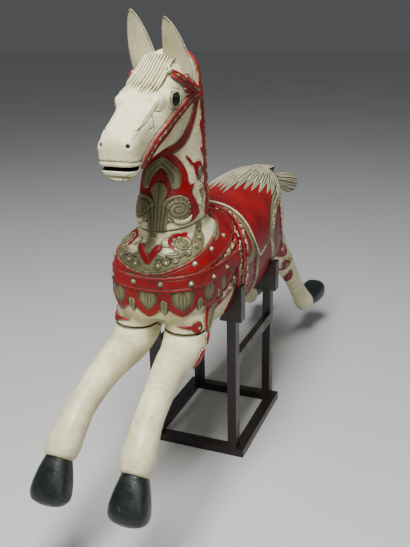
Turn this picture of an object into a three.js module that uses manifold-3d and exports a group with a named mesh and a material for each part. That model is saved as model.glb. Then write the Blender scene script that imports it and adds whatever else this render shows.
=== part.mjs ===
// A carved and painted wooden carousel horse at the gallop, held up on a dark wooden cradle stand.
// Millimetres, +Z up. The horse faces -Y and its left side is +X. The floor is Z = 0.
import * as THREE from "three";
import { mergeVertices } from "three/addons/utils/BufferGeometryUtils.js";
import Module from "manifold-3d";

const wasm = await Module();
wasm.setup();

// ---- Stand ----
const post = { wide: 35, deep: 43, innerX: 147 };
const standDepth = 493; // front of the front posts to the back of the rear ones
const baseHalf = 211; // middle to the outer face of a side rail of the base
const baseRail = { high: 34, side: 45, front: 40, back: 38 };
const midRail = { wide: 27, high: 42, top: 434 }; // between the two posts of each side
const seam = 0.3; // gap left between touching pieces
const blockDeep = 47;
const blockOuterX = 205;
const blocks = {
  front: { top: 725, low: 586, topX: 172, lowX: 118 },
  rear: { top: 671, low: 544, topX: 184, lowX: 98 },
};

// ---- Horse ----
// A form is a row of stations: [x, y, z, half width, rise to the top, drop to the bottom, squareness].
const trunkForm = [
  [0, -340, 800, 36, 60, 52, 2.2],
  [0, -333, 800, 98, 124, 80, 2.5],
  [0, -305, 804, 139, 164, 100, 2.7],
  [0, -240, 806, 168, 182, 136, 2.7],
  [0, -130, 804, 185, 186, 190, 2.5],
  [0, 20, 792, 189, 194, 238, 2.3],
  [0, 240, 780, 187, 204, 244, 2.3],
  [0, 460, 772, 186, 226, 246, 2.3],
  [0, 640, 772, 170, 230, 230, 2.3],
  [0, 780, 776, 142, 214, 190, 2.3],
  [0, 900, 786, 104, 178, 140, 2.3],
  [0, 985, 800, 60, 126, 82, 2.2],
  [0, 1012, 806, 22, 50, 30, 2],
];
const neckForm = [
  [0, -118, 900, 100, 168, 176, 2.3],
  [0, -118, 1004, 99, 166, 176, 2.4],
  [0, -112, 1080, 96, 150, 156, 2.4],
  [0, -103, 1150, 93, 132, 142, 2.4],
  [0, -92, 1230, 90, 108, 130, 2.3],
  [0, -82, 1330, 86, 100, 120, 2.3],
  [0, -76, 1430, 82, 108, 106, 2.2],
  [0, -76, 1510, 70, 92, 84, 2.2],
  [0, -80, 1548, 44, 50, 44, 2],
];
const headForm = [
  [0, -508, 1288, 34, 20, 46, 2.6],
  [0, -501, 1286, 52, 44, 62, 3],
  [0, -474, 1286, 62, 66, 66, 3.6],
  [0, -424, 1302, 61, 84, 74, 3.4],
  [0, -372, 1324, 65, 94, 78, 3.4],
  [0, -326, 1350, 83, 102, 90, 3.2],
  [0, -272, 1376, 86, 118, 114, 2.8],
  [0, -220, 1400, 86, 132, 138, 2.6],
  [0, -160, 1422, 82, 132, 150, 2.4],
  [0, -100, 1440, 76, 120, 130, 2.2],
  [0, -45, 1450, 56, 84, 84, 2],
  [0, -20, 1452, 24, 34, 34, 2],
];
const earForm = [
  [57, -150, 1462, 40, 18, 26, 2],
  [58, -170, 1512, 46, 15, 25, 2],
  [59, -198, 1574, 39, 10, 21, 2],
  [57, -230, 1630, 24, 6, 14, 2],
  [55, -251, 1662, 9, 3, 7, 2],
  [54, -257, 1670, 2, 1, 2, 2],
];
// The forelegs run from the fetlock up into the shoulder, the hind legs from the haunch back to the fetlock.
const foreLegForm = [
  [128, -739, 404, 40, 40, 44, 2.1],
  [128, -730, 413, 49, 47, 50, 2.1],
  [126, -708, 434, 53, 51, 56, 2.2],
  [123, -672, 466, 50, 49, 53, 2.2],
  [118, -613, 508, 46, 46, 47, 2.1],
  [112, -545, 541, 47, 48, 49, 2.1],
  [106, -470, 568, 51, 53, 54, 2.1],
  [99, -385, 587, 58, 60, 60, 2.1],
  [96, -312, 600, 69, 57, 64, 2.1],
  [93, -246, 628, 76, 112, 68, 2.1],
  [90, -196, 684, 80, 122, 72, 2.1],
  [86, -160, 752, 80, 70, 74, 2.1],
];
const hindLegForm = [
  [80, 690, 712, 70, 92, 92, 2.1],
  [98, 762, 646, 60, 80, 82, 2.1],
  [115, 834, 566, 50, 62, 66, 2.1],
  [130, 902, 486, 42, 50, 52, 2.1],
  [140, 966, 414, 38, 42, 43, 2.1],
  [146, 1040, 336, 39, 40, 42, 2.1],
  [151, 1105, 272, 43, 43, 45, 2.1],
  [155, 1160, 220, 49, 49, 50, 2.1],
  [157, 1190, 192, 46, 46, 46, 2.1],
  [158, 1207, 176, 28, 28, 28, 2],
];
const earLift = 11; // the right ear stands higher than the left one
const seamAt = { fore: 9.4, hind: 2.3 }; // the stations where the legs are jointed to the body
const foreEnd = -1000; // before the fore hooves, and behind the hind ones
const hindEnd = 1500;
const shoulderSeam = 660; // the forelegs are also cut off level at this height, under the chest
const legRings = 11;
const legSides = 10;
const neckSeat = 1004; // height of the joint between neck and trunk
const jointGap = 0.02; // in the same measure, the hairline left open in each joint
// Hooves, from the sole up to the coronet.
const foreHoofForm = [
  [133, -808, 280, 26, 20, 24, 2.2],
  [133, -803, 288, 50, 36, 40, 2.5],
  [133, -794, 304, 62, 46, 51, 2.6],
  [132, -778, 332, 62, 49, 53, 2.5],
  [131, -754, 370, 53, 45, 49, 2.3],
  [129, -734, 402, 41, 38, 42, 2.2],
  [128, -722, 422, 34, 32, 36, 2.1],
];
const hindHoofForm = [
  [158, 1192, 200, 34, 34, 36, 2.1],
  [160, 1226, 204, 42, 42, 42, 2.2],
  [164, 1270, 208, 52, 50, 52, 2.4],
  [168, 1320, 210, 60, 56, 56, 2.5],
  [171, 1358, 210, 60, 54, 54, 2.5],
  [172, 1374, 210, 46, 42, 42, 2.3],
  [173, 1380, 210, 20, 18, 18, 2],
];

const tailForm = [
  [30, 838, 926, 10, 14, 16, 2],
  [32, 850, 928, 36, 44, 46, 2],
  [34, 886, 930, 42, 50, 52, 2],
  [40, 922, 924, 26, 32, 34, 2],
  [50, 968, 908, 24, 28, 34, 2],
  [60, 1040, 888, 34, 40, 48, 2.2],
  [68, 1120, 862, 42, 46, 56, 2.4],
  [74, 1176, 846, 30, 40, 46, 2.4],
  [76, 1192, 842, 8, 14, 16, 2],
];
// These forms keep their sections square to an axis: Y (1) or Z (2).
// The others keep them square to their own line.
const squareTo = new Map([[trunkForm, 1], [headForm, 1], [neckForm, 2]]);

// ---- Tools for lofted forms ----
// The numbers of a station anywhere along a form, by a smooth cubic through the stations.
function stationAt(form, t) {
  const last = form.length - 1;
  const i = Math.min(Math.max(Math.floor(t), 0), last - 1);
  const f = t - i;
  const before = form[Math.max(i - 1, 0)];
  const after = form[Math.min(i + 2, last)];
  return form[i].map((from, k) => {
    const to = form[i + 1][k];
    const leave = (to - before[k]) / 2;
    const arrive = (after[k] - from) / 2;
    const rise = to - from;
    return from + leave * f + (3 * rise - 2 * leave - arrive) * f * f + (leave + arrive - 2 * rise) * f ** 3;
  });
}

// Where the form's skin lies at t, at an angle that turns from the top (0) towards the left side.
function skinPoint(form, t, angle, grow = 0) {
  const [x, y, z, half, rise, drop, square] = stationAt(form, t);
  const step = 0.02;
  const ahead = stationAt(form, Math.min(t + step, form.length - 1));
  const behind = stationAt(form, Math.max(t - step, 0));
  const along = new THREE.Vector3(...ahead).sub(new THREE.Vector3(...behind)).normalize();
  if (squareTo.has(form)) along.set(0, 0, 0).setComponent(squareTo.get(form), 1);
  const side = new THREE.Vector3(1, 0, 0).addScaledVector(along, -along.x).normalize();
  const up = side.clone().cross(along);
  const bend = (value) => Math.sign(value) * Math.abs(value) ** (2 / square);
  const across = bend(Math.sin(angle)) * (half + grow);
  const height = bend(Math.cos(angle)) * ((Math.cos(angle) > 0 ? rise : drop) + grow);
  return new THREE.Vector3(x, y, z).addScaledVector(side, across).addScaledVector(up, height);
}

function closedGeometry(points, faces) {
  const geometry = new THREE.BufferGeometry();
  geometry.setAttribute("position", new THREE.Float32BufferAttribute(points.flatMap((p) => p.toArray()), 3));
  geometry.setIndex(faces);
  return geometry;
}

// A closed skin over the stations from one t to another.
function loft(form, rings, sides, from = 0, to = form.length - 1, grow = 0) {
  const points = [];
  const faces = [];
  for (let r = 0; r <= rings; r++) {
    const t = from + ((to - from) * r) / rings;
    for (let s = 0; s < sides; s++) points.push(skinPoint(form, t, (2 * Math.PI * s) / sides, grow));
  }
  for (let r = 0; r < rings; r++)
    for (let s = 0; s < sides; s++) {
      const a = r * sides + s;
      const b = r * sides + ((s + 1) % sides);
      faces.push(a, b, b + sides, a, b + sides, a + sides);
    }
  const start = points.length;
  points.push(new THREE.Vector3(...stationAt(form, from)), new THREE.Vector3(...stationAt(form, to)));
  for (let s = 0; s < sides; s++) {
    const next = (s + 1) % sides;
    faces.push(start, next, s, start + 1, rings * sides + s, rings * sides + next);
  }
  return closedGeometry(points, faces);
}

// ---- Joining and cutting ----
function solid(geometry) {
  const bare = geometry.clone();
  bare.deleteAttribute("normal");
  bare.deleteAttribute("uv");
  const merged = mergeVertices(bare, 1e-3);
  return new wasm.Manifold(
    new wasm.Mesh({
      numProp: 3,
      vertProperties: new Float32Array(merged.attributes.position.array),
      triVerts: new Uint32Array(merged.index.array),
    }),
  );
}

const union = (solids) => solids.reduce((joined, next) => joined.add(next));
const mirrored = (shape) => shape.mirror([1, 0, 0]);
const bothSides = (shape) => [shape, mirrored(shape)];
const pairOfEars = (ear) => [ear.translate([0, 0, -earLift]), mirrored(ear).translate([0, 0, earLift])];

// ---- Carving ----
// A chart carries carving onto forms: it aims from a core point, through a point given roughly, at the skin.
const charts = {
  chest: { forms: [trunkForm, neckForm], core: () => new THREE.Vector3(0, -100, 800) },
  girdle: { forms: [trunkForm], core: (p) => new THREE.Vector3(0, -130, p.z) },
  barrel: { forms: [trunkForm], core: (p) => new THREE.Vector3(0, p.y, 790) },
  neck: { forms: [neckForm], core: (p) => new THREE.Vector3(0, -100, p.z) },
  head: { forms: [headForm, neckForm], core: (p) => new THREE.Vector3(0, p.y, 1400 + 0.32 * (p.y + 200)) },
  throat: { forms: [headForm], core: (p) => new THREE.Vector3(0, p.y, 1420) },
};
const farOut = 460; // farther than any skin lies from its core
const sunk = 6; // how deep carving is rooted in the wood

function isInside(form, p) {
  const run = squareTo.get(form);
  const at = p.getComponent(run);
  let low = 0;
  let high = form.length - 1;
  if (at < form[low][run] || at > form[high][run]) return false;
  for (let step = 0; step < 18; step++) {
    const middle = (low + high) / 2;
    if (stationAt(form, middle)[run] < at) low = middle;
    else high = middle;
  }
  const [x, y, z, half, rise, drop, square] = stationAt(form, low);
  const height = run === 1 ? p.z - z : y - p.y;
  const across = Math.abs(p.x - x) / half;
  return across ** square + (Math.abs(height) / (height > 0 ? rise : drop)) ** square < 1;
}

// The point of the skin behind a rough point, lifted by some height, or sunk where that is negative.
function onSkin(chart, rough, lift = 0) {
  const core = chart.core(rough);
  const out = rough.clone().sub(core).normalize();
  let near = 0;
  let far = farOut;
  for (let step = 0; step < 16; step++) {
    const middle = (near + far) / 2;
    const at = core.clone().addScaledVector(out, middle);
    if (chart.forms.some((form) => isInside(form, at))) near = middle;
    else far = middle;
  }
  return core.addScaledVector(out, near + lift);
}

// A raised patch. place(u, v) gives rough points for u from -1 to 1 across and v from 0 to 1 along.
// Every second column of it may stand higher by a ridge.
function raised(chart, place, across, along, rise, ridge = 0) {
  const points = [];
  const faces = [];
  for (const top of [true, false])
    for (let v = 0; v <= along; v++)
      for (let u = 0; u <= across; u++) {
        const lift = top ? rise + ridge * (u % 2) : -sunk;
        points.push(onSkin(chart, place((2 * u) / across - 1, v / along), lift));
      }
  const wide = across + 1;
  const low = wide * (along + 1);
  const quad = (a, b, c, d) => faces.push(a, b, c, a, c, d);
  for (let v = 0; v < along; v++)
    for (let u = 0; u < across; u++) {
      const a = v * wide + u;
      quad(a, a + 1, a + 1 + wide, a + wide);
      quad(low + a, low + a + wide, low + a + 1 + wide, low + a + 1);
    }
  for (let v = 0; v < along; v++) {
    const left = v * wide;
    const right = left + across;
    quad(left, left + wide, low + left + wide, low + left);
    quad(right, low + right, low + right + wide, right + wide);
  }
  for (let u = 0; u < across; u++) {
    const end = along * wide + u;
    quad(u, low + u, low + u + 1, u + 1);
    quad(end, end + 1, low + end + 1, low + end);
  }
  const shape = solid(closedGeometry(points, faces));
  return shape.volume() > 0 ? shape : solid(closedGeometry(points, faces.reverse()));
}

// A strap along rough points. Its half width may change along it.
function strap(chart, way, half, along, rise, across = 1) {
  const curve = new THREE.CatmullRomCurve3(way.map((p) => new THREE.Vector3(...p)));
  const widthAt = typeof half === "function" ? half : () => half;
  const place = (u, v) => {
    const at = curve.getPoint(v);
    const out = at.clone().sub(chart.core(at)).normalize();
    const side = curve.getTangent(v).cross(out).normalize();
    return at.addScaledVector(side, u * widthAt(v));
  };
  return raised(chart, place, across, along, rise);
}

const flip = ([x, y, z]) => [-x, y, z];
const degree = Math.PI / 180;

// Rough points: from an angle and a height round the chest or neck, from an angle and a length round the barrel.
const around = (turn) => [Math.sin(turn * degree), Math.cos(turn * degree)];
function chestAt(turn, z) {
  const [side, front] = around(turn);
  return new THREE.Vector3(200 * side, -130 - 200 * front, z);
}
function neckAt(turn, z) {
  const [side, front] = around(turn);
  return new THREE.Vector3(110 * side, -100 - 110 * front, z);
}
function barrelAt(turn, y) {
  const [side, top] = around(turn);
  return new THREE.Vector3(200 * side, y, 790 + 200 * top);
}

// How far down one leaf-like plate reaches, from 0 at its sides to 1 at its tip.
const plate = (share) => Math.abs(Math.sin(Math.PI * share)) ** 0.6;

function stud(chart, rough, size) {
  const at = onSkin(chart, rough, -1);
  const out = at.clone().sub(chart.core(at)).normalize();
  const cone = new THREE.ConeGeometry(size, size * 1.3, 4).translate(0, size * 0.65, 0);
  const turn = new THREE.Quaternion().setFromUnitVectors(new THREE.Vector3(0, 1, 0), out);
  return solid(cone.applyQuaternion(turn).translate(at.x, at.y, at.z));
}

// A spiral scroll, coiled inwards from its outer end.
function volute(chart, centre, radius, turns, start, hand, rise) {
  const at = onSkin(chart, centre);
  const out = at.clone().sub(chart.core(at)).normalize();
  const right = new THREE.Vector3(0, 0, 1).cross(out).normalize();
  const up = out.clone().cross(right);
  const count = Math.ceil(7 * turns);
  const way = [];
  for (let i = 0; i <= count; i++) {
    const angle = (start + (hand * 360 * turns * i) / count) * degree;
    const reach = radius * (1 - (0.8 * i) / count);
    const point = at.clone().addScaledVector(right, reach * Math.cos(angle));
    way.push(point.addScaledVector(up, reach * Math.sin(angle)).toArray());
  }
  return strap(chart, way, (v) => radius * (0.2 - 0.1 * v), count, rise);
}

function ball(x, y, z, sizes) {
  return solid(new THREE.SphereGeometry(1, 8, 5).scale(...sizes).translate(x, y, z));
}

// ---- What is carved on the trunk ----
const breastStrap = [[0, -340, 841], [50, -338, 842], [109, -326, 849], [155, -268, 851]]
  .concat([[175, -184, 850], [187, -20, 842]]);
const collarStrap = [[30, -334, 858], [82, -328, 868], [118, -304, 884], [148, -255, 898], [160, -175, 909]]
  .concat([[153, -65, 922], [131, 33, 940], [92, 84, 964]]);
const lappets = { top: 816, count: 9, reach: 129, valley: 766, middleTip: 724, lastTip: 758 };
const strapStuds = [[-12, 848], [14, 843], [38, 846], [66, 842], [92, 842], [-40, 846], [-66, 842]];
const collarStuds = [[44, 905], [74, 920], [108, 932]];
const floralBand = [[0, 132], [18, 119], [37, 95], [55, 70], [64, 50], [83, 31], [109, 25], [140, 44]];
const saddleEdge = [[4, 176], [18, 178], [34, 181], [50, 184], [68, 193], [85, 226]]
  .concat([[97, 275], [89, 376], [66, 449], [45, 606]]);
const rearBand = [[48, 623], [58, 542], [77, 466], [95, 437], [123, 485], [140, 520]];
const rumpEdge = [[0, 700], [54, 684], [81, 640], [125, 728], [140, 738]];
const hairTips = [[-50, 600], [-41, 530], [-32, 600], [-24, 430], [-15, 540], [-7, 340], [1, 500]]
  .concat([[9, 320], [18, 490], [27, 410], [35, 540], [43, 520], [50, 600]]);

const along = (rows, value, from, to) => {
  const i = Math.max(rows.findIndex((row) => row[from] > value), 1);
  const [a, b] = [rows[i - 1], rows[i]];
  return a[to] + ((b[to] - a[to]) * (value - a[from])) / (b[from] - a[from]);
};
const bothWays = (rows) => rows.slice(1).reverse().map(([turn, y]) => [-turn, y]).concat(rows);
const barrelWay = (rows) => rows.map(([turn, y]) => barrelAt(turn, y).toArray());

function harness() {
  const round = breastStrap.slice(1).reverse().map(flip).concat(breastStrap);
  const parts = [strap(charts.girdle, round, 26, 16, 7)];
  parts.push(strap(charts.chest, collarStrap, 27, 11, 6));
  parts.push(strap(charts.chest, collarStrap.map(flip), 27, 11, 5));
  const skirt = (u, v) => {
    const around = 2 * v - 1;
    const tip = lappets.middleTip + (lappets.lastTip - lappets.middleTip) * Math.abs(around);
    const low = lappets.valley + (tip - lappets.valley) * plate(v * lappets.count);
    return chestAt(lappets.reach * around, lappets.top + ((low - lappets.top) * (u + 1)) / 2);
  };
  parts.push(raised(charts.girdle, skirt, 1, 4 * lappets.count, 5));
  for (const [turn, z] of strapStuds) parts.push(stud(charts.girdle, chestAt(turn, z), 13));
  for (const [turn, z] of collarStuds)
    for (const side of [1, -1]) parts.push(stud(charts.girdle, chestAt(side * turn, z), 12));
  return parts;
}

function chestCarving() {
  const stem = [[3, -290, 1000], [3, -300, 975], [3, -322, 945]];
  const fork = [[3, -336, 908], [18, -328, 935], [30, -316, 958]];
  const parts = [strap(charts.chest, stem, 15, 3, 4), strap(charts.chest, fork, 8, 3, 5)];
  parts.push(strap(charts.chest, [[3, -336, 908], [-13, -328, 935], [-25, -316, 958]], 8, 3, 5));
  for (const side of [1, -1])
    parts.push(volute(charts.chest, new THREE.Vector3(side * 98, -270, 958), 28, 1.3, 90, side, 5));
  return parts;
}

function saddle() {
  const edge = (y) => along([[40, 176], ...saddleEdge.slice(4)], y, 1, 0);
  const seat = (u, v) => barrelAt(u * edge(177 + 428 * v), 177 + 428 * v);
  const parts = [raised(charts.barrel, seat, 8, 5, 5)];
  const sweep = saddleEdge.slice(0, -1);
  for (const side of [1, -1]) {
    const way = sweep.map(([turn, y]) => [side * turn, y]);
    parts.push(strap(charts.barrel, barrelWay(way), 7, 12, 9));
    parts.push(strap(charts.barrel, barrelWay(rearBand.map(([turn, y]) => [side * turn, y])), 20, 8, 6));
  }
  parts.push(strap(charts.barrel, barrelWay(bothWays(floralBand)), 30, 16, 5));
  const cover = (u, v) => {
    const turn = Math.abs(u) * 139;
    const front = along([[0, 640], ...rearBand], turn, 0, 1);
    return barrelAt(u * 139, front + (along(rumpEdge, turn, 0, 1) - front) * v);
  };
  parts.push(raised(charts.barrel, cover, 14, 1, 4));
  return parts;
}

function girth() {
  const ring = [90, 118, 150, 180, 210, 242, 270].map((turn) => [turn, 252]);
  return strap(charts.barrel, barrelWay(ring), 22, 10, 5);
}

// The hair fans from the root of the tail to jagged tips, with a ridge along every second strand.
function hair() {
  const fan = (u, v) => {
    const [turn, tip] = hairTips[Math.round(((u + 1) / 2) * (hairTips.length - 1))];
    return barrelAt(turn * (0.4 + 0.6 * Math.sqrt(v)), 880 + (tip - 880) * v);
  };
  return [solid(loft(tailForm, 10, 8)), raised(charts.barrel, fan, hairTips.length - 1, 3, 11, 9)];
}

// ---- What is carved on the head and neck ----
const neckMiddle = 4; // degrees that the front carving stands to the left of the middle
const ogee = [[0, 1238], [16, 1232], [33, 1206], [43, 1172], [44, 1138], [30, 1118]];
const innerArch = [[0, 1172], [9, 1165], [16, 1140], [10, 1112]];
const shell = { turn: 23, z: 1068, radius: 40 };
const backBand = [[118, 1040], [120, 1120], [122, 1220], [124, 1330], [128, 1420]];
const cheekStrap = [[80, -58, 1420], [80, -136, 1407], [85, -232, 1381], [84, -306, 1353]]
  .concat([[71, -353, 1319], [61, -402, 1283], [60, -440, 1264]]);
const throatStrap = [[84, -80, 1412], [82, -105, 1372], [78, -129, 1328], [67, -158, 1284]]
  .concat([[40, -188, 1254], [0, -196, 1246]]);
const browBand = [[69, -233, 1488], [79, -191, 1470], [77, -120, 1446], [80, -58, 1416]];
const forelock = [[-60, -300, 1490], [-46, -314, 1456], [-34, -312, 1474], [-20, -336, 1444]]
  .concat([[-8, -322, 1466], [6, -342, 1440], [20, -322, 1466], [34, -330, 1446]])
  .concat([[46, -306, 1476], [58, -300, 1466], [66, -280, 1492]]);
const mouth = { z: 1251, high: 11, half: 70, front: -530, back: -466 };

function neckCarving() {
  const parts = [];
  for (const side of [1, -1]) {
    const way = (rows) => rows.map(([turn, z]) => neckAt(neckMiddle + side * turn, z).toArray());
    parts.push(strap(charts.neck, way(ogee), 10, 8, 6));
    parts.push(strap(charts.neck, way(innerArch), 8, 5, 6));
    const centre = neckAt(neckMiddle + side * shell.turn, shell.z);
    parts.push(volute(charts.neck, centre, shell.radius, 1.4, 90, -side, 7));
    parts.push(strap(charts.neck, backBand.map(([turn, z]) => neckAt(side * turn, z).toArray()), 14, 6, 6));
  }
  const stem = [[0, 1100], [1, 1055], [1, 1012]].map(([turn, z]) => neckAt(neckMiddle + turn, z).toArray());
  parts.push(strap(charts.neck, stem, 14, 3, 6));
  return parts;
}

function bridle() {
  const parts = [];
  for (const side of [1, -1]) {
    const way = (rows) => (side > 0 ? rows : rows.map(flip));
    parts.push(strap(charts.head, way(browBand), 11, 5, 6));
    parts.push(strap(charts.head, way(cheekStrap), 12, 8, 7));
    parts.push(strap(charts.throat, way(throatStrap), 9, 7, 6));
  }
  return parts;
}

function face() {
  const fringe = (u, v) => {
    const tip = new THREE.Vector3(...forelock[Math.round(((u + 1) / 2) * (forelock.length - 1))]);
    return new THREE.Vector3(0.6 * tip.x + 8, -215, 1536).lerp(tip, v);
  };
  const parts = [raised(charts.head, fringe, forelock.length - 1, 2, 5, 6)];
  for (const side of [1, -1]) {
    parts.push(ball(side * 58, -336, 1414, [24, 30, 20])); // the corner of the brow
    parts.push(ball(side * 74, -260, 1421, [12, 22, 17])); // the eye
  }
  return parts;
}

function hollows() {
  const slit = new THREE.BoxGeometry(2 * mouth.half, mouth.back - mouth.front, mouth.high);
  const cuts = [solid(slit.translate(0, (mouth.front + mouth.back) / 2, mouth.z))];
  const ear = solid(loft(earForm, 6, 8, 0.9, earForm.length - 1.2, -7)).translate([0, -17, 0]);
  return cuts.concat(pairOfEars(ear));
}

// ---- Pieces of the horse ----
const horse = new THREE.Group();
const paint = {
  white: { color: 0xe6dfc8, roughness: 0.45, metalness: 0 },
  dark: { color: 0x17100d, roughness: 0.4, metalness: 0 },
};

function addPiece(name, shape, finish) {
  const { numProp, vertProperties, triVerts } = shape.getMesh();
  const points = new Float32Array((vertProperties.length / numProp) * 3);
  for (let i = 0; i < points.length / 3; i++)
    points.set(vertProperties.subarray(i * numProp, i * numProp + 3), i * 3);
  const geometry = new THREE.BufferGeometry();
  geometry.setAttribute("position", new THREE.BufferAttribute(points, 3));
  geometry.setIndex(new THREE.BufferAttribute(new Uint32Array(triVerts), 1));
  const mesh = new THREE.Mesh(geometry, new THREE.MeshStandardMaterial(finish));
  mesh.name = name;
  horse.add(mesh);
}

// The space a leg takes, grown by the hairline, so that the body keeps clear of it.
function room(form, rings, from, to, joint) {
  const limb = solid(loft(form, rings, legSides, from, to, 2 * seam));
  return limb.add(solid(loft(form, 1, legSides, joint, joint + jointGap, 2 * seam)));
}

const wholeForeleg = () => solid(loft(foreLegForm, legRings, legSides, 0, seamAt.fore));
const below = (height) => solid(bar(-farOut, farOut, foreEnd, hindEnd, 0, height));

function trunk() {
  const shoulderTop = solid(loft(foreLegForm, 4, legSides, seamAt.fore - jointGap));
  const shoulder = shoulderTop.add(wholeForeleg().subtract(below(shoulderSeam - sunk)));
  const haunch = solid(loft(hindLegForm, 5, legSides, 0, seamAt.hind - jointGap));
  const neckRoot = solid(loft(neckForm, 2, 14, 0, 0.997));
  const barrel = solid(loft(trunkForm, 18, 20));
  const carving = union([...harness(), ...chestCarving(), ...saddle(), girth(), ...hair()]);
  const foreRoom = room(foreLegForm, legRings, 0, seamAt.fore, seamAt.fore).intersect(below(shoulderSeam + seam));
  const hindRoom = room(hindLegForm, legRings, seamAt.hind, hindLegForm.length - 1, seamAt.hind - jointGap);
  const whole = union([neckRoot, barrel, ...bothSides(shoulder), ...bothSides(haunch), carving]);
  return whole.subtract(union([...bothSides(foreRoom), ...bothSides(hindRoom)]));
}

function headAndNeck() {
  const neck = solid(loft(neckForm, 9, 14, 1.003));
  const ear = solid(loft(earForm, 6, 8));
  const block = union([neck, solid(loft(headForm, 14, 14)), ...pairOfEars(ear)]);
  const topOfRoot = bar(-farOut, farOut, -farOut, farOut, neckSeat - 2 * sunk, neckSeat + seam);
  const carving = union([...neckCarving(), ...bridle(), ...face()]).subtract(solid(topOfRoot));
  return block.add(carving).subtract(union(hollows()));
}

function foreleg() {
  const limb = wholeForeleg().intersect(below(shoulderSeam));
  return limb.add(solid(loft(foreHoofForm, 10, legSides)));
}

function hindLeg() {
  const limb = solid(loft(hindLegForm, legRings, legSides, seamAt.hind));
  return limb.add(solid(loft(hindHoofForm, 10, legSides)));
}

// ---- Stand ----
function bar(x0, x1, y0, y1, z0, z1) {
  const box = new THREE.BoxGeometry(x1 - x0, y1 - y0, z1 - z0);
  return box.translate((x0 + x1) / 2, (y0 + y1) / 2, (z0 + z1) / 2);
}

// A wedge of the cradle: upright outside, its inner face slanting to the horse's belly.
function wedge({ top, low, topX, lowX }, fromY, grow) {
  const outline = new THREE.Shape();
  outline.moveTo(lowX - grow, low - grow);
  outline.lineTo(blockOuterX + grow, low - grow);
  outline.lineTo(blockOuterX + grow, top + grow);
  outline.lineTo(topX - grow, top + grow);
  outline.closePath();
  const block = new THREE.ExtrudeGeometry(outline, { depth: blockDeep + 2 * grow, bevelEnabled: false });
  return block.rotateX(Math.PI / 2).translate(0, fromY + blockDeep + grow, 0);
}

const sides = { left: 1, right: -1 };
const ends = {
  front: { postY: 0, blockY: -2 },
  rear: { postY: standDepth - post.deep, blockY: standDepth - post.deep - 2 },
};
const toSide = (shape, side) => (sides[side] > 0 ? shape : mirrored(shape));

let body = trunk();
for (const [end, { postY, blockY }] of Object.entries(ends)) {
  const rest = solid(wedge(blocks[end], blockY, seam));
  for (const side of Object.keys(sides)) {
    body = body.subtract(toSide(rest, side));
    const blockShape = solid(wedge(blocks[end], blockY, 0));
    addPiece(end + "_" + side + "_cradle_block", toSide(blockShape, side), paint.dark);
    const low = baseRail.high + seam;
    const high = blocks[end].low - seam;
    const upright = bar(post.innerX, post.innerX + post.wide, postY, postY + post.deep, low, high);
    addPiece(end + "_" + side + "_post", toSide(solid(upright), side), paint.dark);
  }
}
for (const side of Object.keys(sides)) {
  const outer = post.innerX + post.wide;
  const y0 = post.deep + seam;
  const y1 = standDepth - post.deep - seam;
  const rail = bar(outer - midRail.wide, outer, y0, y1, midRail.top - midRail.high, midRail.top);
  addPiece(side + "_middle_rail", toSide(solid(rail), side), paint.dark);
  const b0 = baseRail.front + seam;
  const b1 = standDepth - baseRail.back - seam;
  const foot = bar(baseHalf - baseRail.side, baseHalf, b0, b1, 0, baseRail.high);
  addPiece(side + "_base_rail", toSide(solid(foot), side), paint.dark);
  addPiece(side + "_foreleg", toSide(foreleg(), side), paint.white);
  addPiece(side + "_hind_leg", toSide(hindLeg(), side), paint.white);
}
addPiece("front_base_rail", solid(bar(-baseHalf, baseHalf, 0, baseRail.front, 0, baseRail.high)), paint.dark);
const rearRail = bar(-baseHalf, baseHalf, standDepth - baseRail.back, standDepth, 0, baseRail.high);
addPiece("rear_base_rail", solid(rearRail), paint.dark);
addPiece("trunk", body, paint.white);
addPiece("head_and_neck", headAndNeck(), paint.white);

// The origin is under the middle of the whole, on the floor.
const reach = new THREE.Box3().setFromObject(horse);
horse.position.y = -(reach.min.y + reach.max.y) / 2;

export default horse;
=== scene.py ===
import bpy
import bmesh
import math
import numpy as np
from mathutils import Matrix, Vector
from mathutils.bvhtree import BVHTree


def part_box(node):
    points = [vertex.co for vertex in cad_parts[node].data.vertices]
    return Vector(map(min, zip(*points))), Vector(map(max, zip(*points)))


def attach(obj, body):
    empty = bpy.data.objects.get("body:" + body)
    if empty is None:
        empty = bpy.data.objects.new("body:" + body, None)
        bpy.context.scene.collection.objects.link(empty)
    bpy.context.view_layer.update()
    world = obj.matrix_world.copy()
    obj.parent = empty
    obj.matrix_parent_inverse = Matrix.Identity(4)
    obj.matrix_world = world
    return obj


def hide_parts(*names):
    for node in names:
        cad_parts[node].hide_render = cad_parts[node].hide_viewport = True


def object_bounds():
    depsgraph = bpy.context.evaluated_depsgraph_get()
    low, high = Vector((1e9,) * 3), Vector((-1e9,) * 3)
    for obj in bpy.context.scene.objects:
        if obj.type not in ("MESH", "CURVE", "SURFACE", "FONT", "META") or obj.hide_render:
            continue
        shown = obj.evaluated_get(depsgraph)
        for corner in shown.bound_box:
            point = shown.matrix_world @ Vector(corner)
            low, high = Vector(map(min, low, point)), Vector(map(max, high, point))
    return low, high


# A carved and painted carousel horse on its dark cradle stand. Metres, +Z up, the horse looks along -Y.
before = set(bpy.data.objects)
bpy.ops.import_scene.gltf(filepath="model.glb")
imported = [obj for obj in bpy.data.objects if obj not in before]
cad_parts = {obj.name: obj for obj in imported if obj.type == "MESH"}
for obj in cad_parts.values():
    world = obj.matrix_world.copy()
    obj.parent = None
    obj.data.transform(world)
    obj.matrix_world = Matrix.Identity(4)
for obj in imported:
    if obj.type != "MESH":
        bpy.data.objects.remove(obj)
cadBox = [list(corner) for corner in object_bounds()]
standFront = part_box("front_base_rail")[0].y  # every y below is counted from the stand's front face
frontShift = np.array((0, standFront, 0))
print("loaded", len(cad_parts), "blocks and timbers")


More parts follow.
